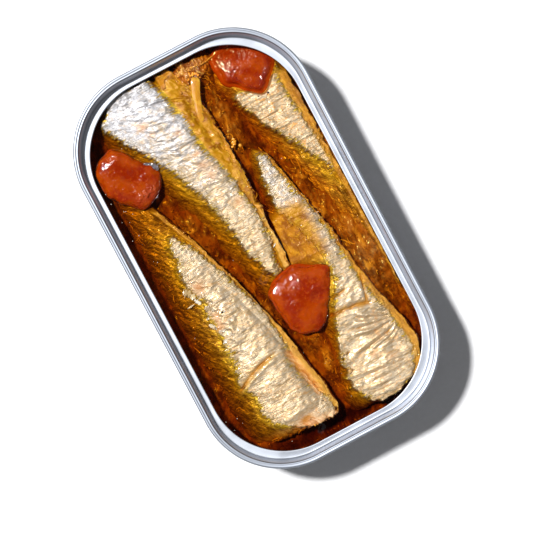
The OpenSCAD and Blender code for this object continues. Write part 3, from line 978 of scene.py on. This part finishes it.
def tube(path, wide, tall, sides=6):
    """A closed oval tube along a path, as wide and tall as each point says."""
    along = np.gradient(path, axis=0)
    along /= np.maximum(np.linalg.norm(along, axis=-1, keepdims=True), 1e-9)
    out = np.cross(along, [0, 0, 1.0])
    out /= np.maximum(np.linalg.norm(out, axis=-1, keepdims=True), 1e-9)
    up = np.cross(out, along)
    a = np.linspace(0, TAU, sides, endpoint=False)
    return path[:, None] + wide[:, None, None] * np.cos(a)[None, :, None] * out[:, None] \
        + tall[:, None, None] * np.sin(a)[None, :, None] * up[:, None]


EXTRA = 1.6    # the tone of those small things that have a colour of their own

# Where small things lie: a line between two places, the spread to each side of
# it, how many strands and how many crumbs, and the way the strands point.
DRIFTS = [
    ((8.0, 41), (8.4, 22), 2.6, 46, 50, -80), ((14, 22), (20, 4), 2.6, 30, 26, -70),
    ((20, 4), (24.5, -26), 2.0, 44, 26, -78), ((-23.8, 16), (-23.4, -36), 1.5, 9, 80, -88),
    ((-15.5, 18), (-6.2, -7), 2.0, 20, 60, -66), ((-5.6, -8), (-2.0, -24), 0.9, 10, 18, -76),
    ((3.0, -26), (2.6, -42), 1.8, 22, 34, -84), ((1, 47), (11, 46.5), 1.6, 26, 30, 10),
    ((9.0, 44), (8.4, 40.5), 1.4, 12, 12, -60), ((5.8, 14), (8.0, 6), 0.5, 8, 2, -72),
    ((-19, -44.8), (0, -46), 0.9, 8, 30, 5), ((-27, 26), (-24.5, 14), 1.0, 6, 16, -80),
]


def strands(tops, rng):
    """Thin shreds that lie bent on whatever is under them, just below the oil."""
    parts, tones = [], []
    for (ax, ay), (bx, by), spread, count, _, way in DRIFTS:
        for _ in range(count):
            t, off = rng.random(), rng.normal() * 0.5 * spread
            x, y = spot(ax + (bx - ax) * t + off, ay + (by - ay) * t + rng.normal() * 0.3)
            length = rng.uniform(1.2, 4.2)
            turn = math.radians(way + rng.normal() * 16)
            bend = rng.normal() * 0.25
            u = np.linspace(-0.5, 0.5, 9)
            angle = turn + bend * u * length
            px, py = x + length * u * np.cos(angle), y + length * u * np.sin(angle)
            side = half_width(py) - 0.4
            px = np.clip(px, -side, side)
            z = np.minimum(tops.at(px, py) + 0.10, LEVEL - 0.12)
            z = 0.5 * z + 0.5 * z.mean() + 0.05 * np.sin(9 * u)
            taper = np.sqrt(np.maximum(0.05, 1 - (2 * u) ** 2))
            wide = rng.uniform(0.07, 0.20)
            parts.append(tube(np.stack([px, py, z], -1), wide * taper, 0.06 * taper, 5))
            tones.append(rng.random())
    return joined("flesh_strands", parts, {"tone": tones})


def crumb(centre, size, rng, rows=4, cols=6):
    """A lumpy ball of a few faces."""
    lift = np.linspace(-0.42, 0.42, rows)[:, None] * math.pi
    a = np.linspace(0, TAU, cols, endpoint=False)[None, :] + rng.random()
    r = 1 + 0.28 * rng.normal(size=(rows, cols))
    ball = np.stack([np.cos(lift) * np.cos(a) * r, np.cos(lift) * np.sin(a) * r,
                     np.broadcast_to(np.sin(lift), r.shape) * r], -1)
    return centre + ball * size


def crumbs(tops, rng):
    """Crumbs of flesh and scales, most of them small, on what lies under them."""
    parts, tones = [], []
    for (ax, ay), (bx, by), spread, _, count, _ in DRIFTS:
        for _ in range(count):
            t = rng.random()
            x, y = spot(ax + (bx - ax) * t + rng.normal() * 0.55 * spread, ay + (by - ay) * t)
            size = np.array([1, rng.uniform(0.6, 1), 0.6]) * rng.uniform(0.10, 0.34)
            side = float(half_width(np.array(y))) - 0.5
            x = np.clip(x, -side, side)
            z = min(float(tops.at(x, y)) + 0.12, LEVEL - 0.08)
            parts.append(crumb(np.array([x, y, z]), size, rng))
            tones.append(rng.random())
    for x, y, r in [(7.2, 25.5, 0.85), (8.3, 24.3, 0.62), (7.6, 26.5, 0.5), (6.6, 25.0, 0.5),
                    (5.2, 45.6, 0.6), (6.4, 45.2, 0.7), (4.4, 44.4, 0.45), (7.3, 44.6, 0.4)]:
        x, y = spot(x, y)
        for _ in range(3):
            at = np.array([x, y, LEVEL - 0.1]) + rng.normal(size=3) * r * [0.35, 0.35, 0.12]
            parts.append(crumb(at, np.array([0.6, 0.5, 0.34]) * r, rng, 7, 10))
            tones.append(EXTRA)
    return joined("flesh_crumbs", parts, {"tone": tones})


# Curled scraps of silver skin: place, length, width, turn in degrees, and how far
# each stands up.
SCRAPS = [
    (-20.3, -1.8, 2.2, 1.5, -35, 0.1), (-19.2, -3.2, 2.1, 1.3, 20, 0.1), (-21.0, -5.2, 1.9, 0.35, 5, 0.1),
    (-19.0, -5.0, 2.0, 0.8, -60, 0.1), (-17.6, -7.6, 1.6, 1.0, -60, 0.2), (-16.6, -8.4, 0.9, 0.6, 15, 0.4),
    (-18.4, -12.2, 2.4, 0.9, -50, 0.3), (-16.9, -14.1, 2.0, 0.6, -12, 0.35), (-18.6, -9.8, 1.2, 0.5, 10, 0.3),
    (-17.6, -16.8, 1.4, 0.6, 25, 0.25), (-15.2, -16.0, 1.5, 0.6, -50, 0.45), (-14.6, -10.0, 1.2, 0.5, 0, 0.5),
    (-13.2, 29.9, 2.9, 1.3, -38, 0.5), (-14.4, 31.0, 1.5, 0.6, -30, 0.45), (-12.6, 28.9, 1.2, 0.8, -60, 0.5),
    (9.4, -27.6, 2.2, 0.5, -18, 0.35), (10.4, -26.2, 2.0, 0.5, 8, 0.35), (4.3, -1.4, 1.2, 0.3, 35, 0.3),
]


def skin_scraps(tops, rng):
    """Thin sheets with a curl across them and a frayed outline."""
    parts, tones = [], []
    for x, y, length, width, turn, high in SCRAPS:
        x, y = spot(x, y)
        rows, cols = 22, 20
        t = np.linspace(-1, 1, rows)[:, None]
        a = np.linspace(0, TAU, cols, endpoint=False)[None, :]
        fray = 1 + 0.45 * rng.normal(size=(rows, 1)) * np.abs(np.cos(a))
        u = length / 2 * t * np.ones_like(a)
        w = width / 2 * np.sqrt(np.maximum(0.02, 1 - np.abs(t) ** 3)) * np.cos(a) * fray
        c, s = math.cos(math.radians(turn)), math.sin(math.radians(turn))
        px, py = x + u * c - w * s, y + u * s + w * c
        floor = max(float(tops.at(x, y)), LEVEL - 0.3)
        z = floor + high * 0.4 + 0.035 * np.sin(a) + 0.30 * (w / width) ** 2 * rng.uniform(0.3, 1.4) \
            + 0.10 * wave(u / 0.8 + x, w / 0.6 + y, 601)
        parts.append(np.stack([px, py, np.minimum(z, LEVEL + 1.2)], -1))
        beside_tomato = x < -12 and y > 25
        tones.append(EXTRA if beside_tomato else rng.random())
    return joined("skin_scraps", parts, {"tone": tones})


def specks(tops, rng):
    """Dark grains of spice, on the skin and in the oil."""
    places = [(-9.5, -25.5, .18), (-3, -41, .24), (18.0, 32.9, .24), (20.5, 32.6, .34), (20.1, 32.4, .2),
              (4.9, 28.4, .14), (9.4, -27.8, .2), (-3.1, -36.6, .14), (-3.5, -25.8, .16), (12.4, 7.7, .12)]
    parts = []
    for k in range(90):
        if k < len(places):
            x, y, r = places[k]
        else:
            x, y, r = rng.uniform(-26, 26), rng.uniform(-46, 46), rng.uniform(0.04, 0.08)
        x, y = spot(x, y)
        z = min(float(tops.at(x, y)) + 0.03, LEVEL + 1.1)
        parts.append(crumb(np.array([x, y, z]), np.array([1, 0.7, 0.5]) * r, rng))
    return joined("spice_specks", parts)


def bubbles(tops, rng):
    """Small domes of air at the oil's surface, where it is open."""
    parts = []
    while len(parts) < 30:
        x, y = spot(*(rng.uniform(-27, -23), rng.uniform(-44, 30)) if rng.random() < 0.4
                    else (rng.uniform(-26, 26), rng.uniform(-47, 46)))
        if tops.at(x, y) > LEVEL - 0.35:
            continue
        parts.append(bead(x, y, rng.uniform(0.05, 0.12)))
    return joined("oil_bubbles", parts)


def bead(x, y, r):
    """A small ball, half sunk in the oil."""
    lift = np.linspace(-0.46, 0.46, 7)[:, None] * math.pi
    a = np.linspace(0, TAU, 10, endpoint=False)[None, :]
    ball = np.stack([np.cos(lift) * np.cos(a), np.cos(lift) * np.sin(a), np.sin(lift) + 0 * a], -1)
    return np.array([x, y, LEVEL]) + r * ball


# ---- oil -------------------------------------------------------------------


# Small swells on the oil, as folds reads them.
RIPPLES = [((-2.9, -8.2), (-0.2, -5.9), 0.80, 0.1, 0.22), ((14.6, -48.2), (16.8, -46.9), 0.70, 0.0, 0.19),
           ((17.0, -47.4), (19.4, -45.9), 0.70, 0.0, 0.19), ((19.4, -46.3), (21.6, -44.7), 0.70, 0.0, 0.19),
           ((21.6, -45.0), (23.6, -43.1), 0.70, 0.0, 0.19), ((-7.4, -47.6), (-5.8, -46.2), 0.60, 0.0, 0.16),
           ((1.0, 34.5), (2.2, 35.6), 0.70, 0.0, 0.19)]


def oil(tops):
    """Oil that stands at its level, climbs a little up the wall and up whatever
    comes near its face, sinks away under whatever breaks through it, and heaves
    faintly in between."""
    high = tops.softened(2)

    def top(x, y):
        i, j = tops.cells(x, y)
        cover = LEVEL - high[i, j]
        corner = np.hypot(np.maximum(0, np.abs(x) - INSIDE[0] + INSIDE_R),
                          np.maximum(0, np.abs(y) - INSIDE[1] + INSIDE_R))
        wall = np.minimum(INSIDE_R - corner, np.minimum(INSIDE[0] - np.abs(x), INSIDE[1] - np.abs(y)))
        climb = 0.16 * np.exp(-np.maximum(cover, 0) / 0.3) - 1.6 * smooth(0.04, 0.24, -cover)
        climb = climb + 0.35 * np.exp(-np.maximum(wall, 0) / 0.7) + folds(x, y, RIPPLES)
        return LEVEL + climb + 0.018 * cloud(x / 5, y / 6, 701) + 0.006 * wave(x / 1.2, y / 1.4, 703)

    return slab("oil_fill", top, FLOOR_Z + 0.02, cols=190, rows=330, inset=-0.03)


# ---- finishes --------------------------------------------------------------


def depth_of(f):
    """How far below the oil's level a place lies, in millimetres."""
    return LEVEL - f.parts(f.place)[2] * (1 / MM)


def skin_finish():
    """Silver skin with strokes across it, with painted shade in their furrows. Past the edge of the silver
    come grey strokes, then yellow ones, and then brown with painted glints, and fat and bare flesh show where
    they are marked."""
    f = Finish("sardine_skin")
    depth = depth_of(f)
    lay = f.mark("lay", "Vector")
    off, fat, flesh, rise, warm, glow = map(f.mark, ("off", "fat", "flesh", "rise", "warm", "glow"))
    strokes = f.noise(f.scaled(lay, (0.28, 1.7, 0.4)), 1.0, 3, 0.60, 1.0)
    fine = f.noise(f.scaled(lay, (0.9, 4.2, 0.9)), 1.0, 2, 0.6, 0.8)
    turned = f.scaled(lay, (1, 1, 1), turn=(0, 0, 0.9))
    down = f.noise(f.scaled(turned, (0.42, 1.3, 0.42)), 1.0, 4, 0.66, 1.1)
    patches = f.noise(f.scaled(lay, (0.30, 0.34, 0.3)), 1.0, 3, 0.55)
    blots = f.noise(lay, 0.85, 4, 0.65)
    edge = off + (strokes - 0.5) * 7 + (patches - 0.5) * 3
    hard = strokes * 0.62 + blots * 0.38
    # Painted shade and light, along with the skin's own grey strokes: the strokes that also raise the bump
    # turn grey where they are low, so the grey sits in their furrows and the pale on their ridges.
    silver = f.blend(hard.between(0.38, 0.54), (168, 164, 162), (213, 212, 217))
    cream = f.blend(hard.between(0.40, 0.56), (196, 164, 118), (210, 190, 160))
    deep = f.blend(hard.between(0.40, 0.56), (186, 150, 104), (212, 190, 156))
    cream = f.blend(warm.between(0.55, 1.0), cream, deep)
    silver = f.blend((warm * 0.8 + blots * 0.9 + patches * 0.4).between(0.66, 1.15), silver, cream)
    silver = f.blend(blots.between(0.53, 0.63) * warm * 0.8, silver, (214, 156, 90))
    silver = f.blend(edge.between(-2.4, -0.2) * fine.between(0.46, 0.54, 0.1, 0.7), silver, (112, 96, 60))
    # Painted glints and shade, on the flank's own yellow and brown: the strokes that also raise the bump turn
    # bright on their ridges and dark in their furrows.
    yellow = f.blend((down * 0.75 + fine * 0.25).between(0.38, 0.60), (132, 94, 8), (214, 172, 36))
    brown = f.blend((down * 0.75 + fine * 0.25).between(0.42, 0.62), (112, 72, 6), (190, 138, 26))
    flank = f.blend(edge.between(1.6, 5.2), yellow, brown)
    # Painted glints: small pale yellow flecks on the flank.
    flank = f.blend(fine.between(0.61, 0.68, 0, 0.6) * patches.between(0.4, 0.6), flank, (250, 220, 104))
    amber = f.blend(down.between(0.40, 0.60), (170, 104, 36), (244, 196, 110))
    flank = f.blend(glow * depth.between(0.5, 2.2), flank, amber)
    skin = f.blend(edge.between(-0.6, 0.5), silver, flank)
    butter = f.blend(patches.between(0.35, 0.60), (152, 90, 0), (196, 134, 8))
    butter = f.blend(blots.between(0.52, 0.66, 0, 0.7), butter, (228, 176, 44))
    butter = f.blend(warm.between(0.45, 0.85, 0, 0.7) * (1 - glow * 0.75), butter, (232, 190, 104))
    skin = f.blend(fat * depth.between(6.5, 3.0), skin, butter)
    meat = f.blend(down.between(0.38, 0.62), (196, 128, 70), (232, 190, 142))
    skin = f.blend(flesh * 0.92, skin, meat)
    # A darker gold where the relief's furrows lie lowest, more so on the warmer fish.
    skin = f.blend(rise.between(-0.16, -0.50, 0, 0.9) * warm.between(0, 0.5), skin, (176, 116, 28))
    plain = edge.between(0.5, -0.5)
    f.show(f.principled(
        skin, Metallic=(1 - flesh) * (1 - fat * 0.8) * (plain * 0.05 + 0.38),
        Roughness=blots.between(0.3, 0.7, 0.32, 0.46), Specular_IOR_Level=0.3,
        Coat_Weight=plain * 0.25 + 0.1, Coat_Roughness=0.10,
        Normal=f.bump(hard * plain * 1.2 + down * (1 - plain) * 0.55 + fine * 0.4, 0.0002, 1.0)).outputs[0])
    return f.material


def tomato_finish():
    """Wet red flesh, deeper where it dips and paler at its pits, and paler orange on its sides with painted
    light.
    """
    f = Finish("tomato_flesh")
    depth = depth_of(f)
    pits, lift = f.mark("pits"), f.mark("lift")
    place = f.place_mm()
    broad = f.noise(place, 0.22, 3, 0.5)
    fine = f.noise(place, 1.3, 4, 0.6)
    red = f.blend(broad.between(0.38, 0.62), (142, 34, 0), (168, 62, 0))
    red = f.blend(fine.between(0.50, 0.70, 0, 0.45), red, (190, 78, 12))
    red = f.blend(pits * 0.4, red, (190, 86, 44))
    # Painted light: the piece's sides and underside turn a paler orange.
    red = f.blend(lift.between(0.75, 0.2, 0, 0.8), red, (196, 78, 4))
    red = f.blend(depth.between(0.6, 4.0, 0, 0.8), red, (120, 36, 2))
    f.show(f.principled(
        red, Roughness=fine.between(0.3, 0.7, 0.12, 0.22), Specular_IOR_Level=0.14, Coat_Weight=0.45,
        Coat_Roughness=0.035, Subsurface_Weight=0.3, Subsurface_Radius=(1.0, 0.28, 0.1),
        Subsurface_Scale=0.0014, Normal=f.bump(fine * (0.4 + pits), 0.00026, 0.9)).outputs[0])
    return f.material


def flesh_finish(name, dark, mid, pale, rough=0.45):
    """Shredded flesh: three tones that follow its lumps and its fibres."""
    f = Finish(name)
    depth = depth_of(f)
    lay = f.mark("lay", "Vector")
    lump = f.mark("lump")
    fibres = f.noise(f.scaled(lay, (1.5, 1.1, 1.3)), 1.0, 4, 0.62, 0.7)
    soft = f.noise(lay, 0.22, 2, 0.5)
    tone = f.blend((fibres * 0.5 + soft * 0.5).between(0.38, 0.62), dark, mid)
    tone = f.blend((lump + fibres * 0.6).between(0.45, 0.95, 0, 0.8), tone, pale)
    tone = f.blend(depth.between(3.0, 9.0, 0, 0.85), tone, (50, 22, 8))
    f.show(f.principled(tone, Roughness=rough, Coat_Weight=0.3, Coat_Roughness=0.15,
                        Normal=f.bump(fibres, 0.0002, 0.8)).outputs[0])
    return f.material


def small_finish(name, dark, pale, extra=(250, 170, 50), rough=0.4):
    """Small things, from dark to pale by the tone that each of them has, and in the
    extra colour where their tone is EXTRA."""
    f = Finish(name)
    tone = f.mark("tone")
    grain = f.noise(f.place_mm(), 2.4, 3, 0.6)
    colour = f.blend((tone + grain * 0.5).between(0.2, 1.2), dark, pale)
    colour = f.blend(tone.between(1.2, 1.5), colour, extra)
    f.show(f.principled(colour, Roughness=rough, Coat_Weight=0.4, Coat_Roughness=0.1,
                        Normal=f.bump(grain, 0.0001, 0.5)).outputs[0])
    return f.material


def strip_finish():
    """Clear yellow fin, ribbed along its length."""
    f = Finish("fin_amber")
    lay = f.mark("lay", "Vector")
    ribs = f.noise(f.scaled(lay, (2.6, 0.35, 1.0)), 1.0, 3, 0.5)
    broad = f.noise(lay, 0.6, 2, 0.5)
    amber = f.blend(ribs.between(0.30, 0.70), (200, 132, 12), (218, 152, 26))
    amber = f.blend(broad.between(0.5, 0.7, 0, 0.4), amber, (242, 190, 70))
    f.show(f.principled(
        amber, Roughness=0.3, Coat_Weight=0.8, Coat_Roughness=0.1, Subsurface_Weight=0.3,
        Subsurface_Radius=(1.0, 0.5, 0.15), Subsurface_Scale=0.0012,
        Normal=f.bump(ribs, 0.0001, 0.6)).outputs[0])
    return f.material


def metal_finish(name, colour, ledge_rough, crest_rough, grain=(0.25, 0.25, 9.0)):
    """Rolled sheet metal with faint draw lines and a cloudy sheen. Its crest is rubbed smooth. Its tones
    carry painted light: a paler tone on the leaning wall below the crest, a darker one on the crest, and grey
    bands of painted reflection down the crest's sides."""
    f = Finish(name)
    place = f.place_mm()
    high = f.parts(place)[2]
    cloudy = f.noise(place, 0.12, 3, 0.5)
    lines = f.noise(f.scaled(place, grain), 1.0, 3, 0.6)
    scuffs = f.noise(place, 1.6, 4, 0.7)
    wall = high.between(LEDGE_Z + 0.1, LEDGE_Z + 0.6) * high.between(TOP - 0.5, TOP - 0.9)
    crest = high.between(TOP - 0.9, TOP - 0.4)
    tone = f.blend(cloudy.between(0.35, 0.65), tuple(c - 14 for c in colour), colour)
    tone = f.blend(scuffs.between(0.60, 0.76, 0, 0.35), tone, tuple(c - 46 for c in colour))
    # Painted light: the leaning wall gets a paler tone of its own, for the light it shows.
    tone = f.blend(wall * 0.75, tone, (214, 220, 230))
    # Painted shade: the crest is toned darker.
    tone = f.blend(crest * 0.7, tone, (180, 187, 199))
    # Painted reflection: grey bands down both sides of the crest, just below its top.
    tone = f.blend(crest * high.between(TOP - 0.08, TOP - 0.34, 0, 0.8), tone, (104, 108, 116))
    sheen = (cloudy * 0.6 + lines * 0.4).between(0.35, 0.65, ledge_rough - 0.05, ledge_rough + 0.05)
    f.show(f.principled(
        tone, Metallic=1.0, Roughness=sheen * (1 - crest) + crest * crest_rough,
        Normal=f.bump(lines + scuffs * 0.3, 0.00003, 0.5)).outputs[0])
    return f.material


def oil_finish():
    """Clear oil: nothing bends in it, its face mirrors a little, and its depth
    takes out blue, then green."""
    f = Finish("oil_golden")
    clear = f.node("ShaderNodeBsdfTransparent", None, {"Color": (1, 1, 1, 1)})
    ripple = f.noise(f.place_mm(), 0.5, 2, 0.5)
    mirror = f.node("ShaderNodeBsdfGlossy", None,
                    {"Color": (1, 1, 1, 1), "Roughness": 0.03, "Normal": f.bump(ripple, 0.00006, 0.4)})
    edge = f.node("ShaderNodeFresnel", None, {"IOR": 1.47})
    skin = f.node("ShaderNodeMixShader", None, [edge.outputs[0], clear.outputs[0], mirror.outputs[0]])
    f.show(skin.outputs[0])
    taken = np.array([0.105, 0.235, 0.76])    # of red, green and blue, in each mm
    density = 780.0
    f.show(f.node("ShaderNodeVolumeAbsorption", None, {
        "Color": (*(1 - taken / MM / density), 1.0), "Density": density}).outputs[0], "Volume")
    return f.material


def bead_finish():
    """Pale, glossy skins of the air beads."""
    f = Finish("air_beads")
    grain = f.noise(f.place_mm(), 3.0, 2, 0.5)
    colour = f.blend(grain.between(0.4, 0.6), (222, 205, 180), (250, 240, 226))
    f.show(f.principled(colour, Roughness=0.1, Coat_Weight=1.0, Coat_Roughness=0.03).outputs[0])
    return f.material


def floor_finish():
    """Plain pale paper with a faint grain."""
    f = Finish("pale_floor")
    grain = f.noise(f.place_mm(), 0.8, 4, 0.6)
    colour = f.blend(grain.between(0.4, 0.6), (244, 244, 245), (247, 247, 248))
    f.show(f.principled(colour, Roughness=0.8, Specular_IOR_Level=0.1).outputs[0])
    return f.material


# ---- putting it together ---------------------------------------------------


def add(piece, finish, slot, *nodes):
    """Gives a piece its finish and its place in the frame."""
    piece.data.materials.append(finish)
    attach(piece, "root")
    if nodes:
        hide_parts(*nodes)
    return piece


draws = np.random.default_rng(1906)
ring_metal = metal_finish("lid_metal", (204, 209, 218), 0.50, 0.52)
can_metal = metal_finish("can_metal", (206, 210, 217), 0.58, 0.58, (0.3, 0.3, 5.0))
add(lid_ring(), ring_metal, "ring", "lid_ring")
add(can_body(), can_metal, "can", "can_body")

silver = skin_finish()
red = tomato_finish()
solids = []
for name in SARDINES:
    solids.append(add(sardine(name), silver, "fish", name))
for name in TOMATOES:
    solids.append(add(tomato(name), red, "tomato", name))
solids.append(add(fin_strip(), strip_finish(), "fin", "fin_strip"))
heap_finish = flesh_finish("shredded_flesh", (140, 74, 10), (206, 126, 30), (244, 190, 90))
solids.append(add(loose_flesh(), heap_finish, "flesh", "loose_flesh"))
solids.append(add(bed(), flesh_finish("sunk_flesh", (104, 54, 14), (184, 112, 36), (236, 176, 84)), "flesh"))

tops = Tops(*(points_of(piece) for piece in solids))
add(strands(tops, draws), small_finish("strand_flesh", (160, 84, 12), (250, 190, 80)), "flesh")
add(crumbs(tops, draws), small_finish("crumb_flesh", (120, 60, 12), (232, 164, 62)), "flesh")
scrap_finish = small_finish("scrap_skin", (176, 150, 112), (232, 222, 204), (112, 106, 112), 0.25)
add(skin_scraps(tops, draws), scrap_finish, "fish")
add(specks(tops, draws), small_finish("spice_dark", (40, 22, 12), (84, 46, 20)), "fish")
add(bubbles(tops, draws), bead_finish(), "oil")
add(oil(tops), oil_finish(), "oil", "oil")


# ---- floor, light and camera -----------------------------------------------


def floor():
    """A round floor, far wider than the tin, with a low edge."""
    radii = np.array([0.001, 300, 900, 2500])
    a = np.linspace(0, TAU, 96, endpoint=False)
    top = [np.stack([r * np.cos(a), r * np.sin(a), 0 * a - 0.01], -1) for r in radii]
    under = [np.stack([r * np.cos(a), r * np.sin(a), 0 * a - 20], -1) for r in radii[::-1]]
    piece = surface("studio_floor", np.array(top + under))
    piece.data.materials.append(floor_finish())


def sun():
    """A small, far lamp, up to the left of the tin's far end."""
    lamp = bpy.data.lights.new("studio_sun", "SUN")
    lamp.energy = SUN_STRENGTH
    lamp.angle = math.radians(SUN_WIDTH)
    piece = bpy.data.objects.new("studio_sun", lamp)
    piece.rotation_mode = "QUATERNION"
    piece.rotation_quaternion = Vector(SUN_WAY).to_track_quat("-Z", "Y")
    bpy.context.scene.collection.objects.link(piece)


def sky():
    """Dim light from all round, with a brighter ring high up about a dark top."""
    world = bpy.data.worlds.new("studio_sky")
    world.use_nodes = True
    tree = world.node_tree
    tree.nodes.clear()
    place = tree.nodes.new("ShaderNodeTexCoord")
    parts = tree.nodes.new("ShaderNodeSeparateXYZ")
    ramp = tree.nodes.new("ShaderNodeValToRGB")
    shade = tree.nodes.new("ShaderNodeBackground")
    out = tree.nodes.new("ShaderNodeOutputWorld")
    stops = ramp.color_ramp.elements
    for k, (at, level) in enumerate(SKY):
        stop = stops[k] if k < 2 else stops.new(at)
        stop.position = at
        stop.color = (level, level, level * 1.02, 1)
    tree.links.new(place.outputs["Generated"], parts.inputs[0])
    tree.links.new(parts.outputs[2], ramp.inputs[0])
    tree.links.new(ramp.outputs[0], shade.inputs["Color"])
    tree.links.new(shade.outputs[0], out.inputs["Surface"])
    bpy.context.scene.world = world


def camera():
    """Looks almost straight down, with the tin turned across the frame."""
    aim = Vector((AIM[0] * MM, AIM[1] * MM, TOP * MM))
    tilt = math.radians(CAMERA_TILT)
    back = Vector((-math.sin(tilt) * math.sqrt(0.5), math.sin(tilt) * math.sqrt(0.5), math.cos(tilt)))
    turn = math.radians(TIN_TURN)
    right = Vector((math.sin(turn), math.cos(turn), 0)).cross(back).normalized()
    up = back.cross(right)
    lens = bpy.data.cameras.new("top_camera")
    lens.lens = lens.sensor_width * CAMERA_AWAY / (FRAME_WIDTH * MM)
    lens.clip_start, lens.clip_end = 0.01, 20
    piece = bpy.data.objects.new("top_camera", lens)
    piece.matrix_world = Matrix((right, up, back)).transposed().to_4x4()
    piece.location = aim + back * CAMERA_AWAY
    bpy.context.scene.collection.objects.link(piece)
    bpy.context.scene.camera = piece


SUN_WAY = (7.3, -9.5, -22)       # the way its light goes
SUN_STRENGTH = 4.2
SUN_WIDTH = 4.5                  # degrees
# How bright the sky is, from 0 level with the floor to 1 straight up. The ramp's
# own two stops, its ends, come first.
SKY = [(0.0, 0.08), (1.0, 0.02), (0.45, 0.07), (0.64, 0.07), (0.86, 0.26), (0.95, 0.26), (0.988, 0.02)]
AIM = (-0.08, -4.97)             # mm, at the height of the seam
CAMERA_AWAY = 0.6                # m
CAMERA_TILT = 3.0                # degrees from straight down
TIN_TURN = 27.8                  # degrees that the tin is turned in the frame
FRAME_WIDTH = 130.6              # mm across the frame at the seam

floor()
sun()
sky()
camera()
scene = bpy.context.scene
scene.view_settings.view_transform = "Standard"
scene.view_settings.look = "None"
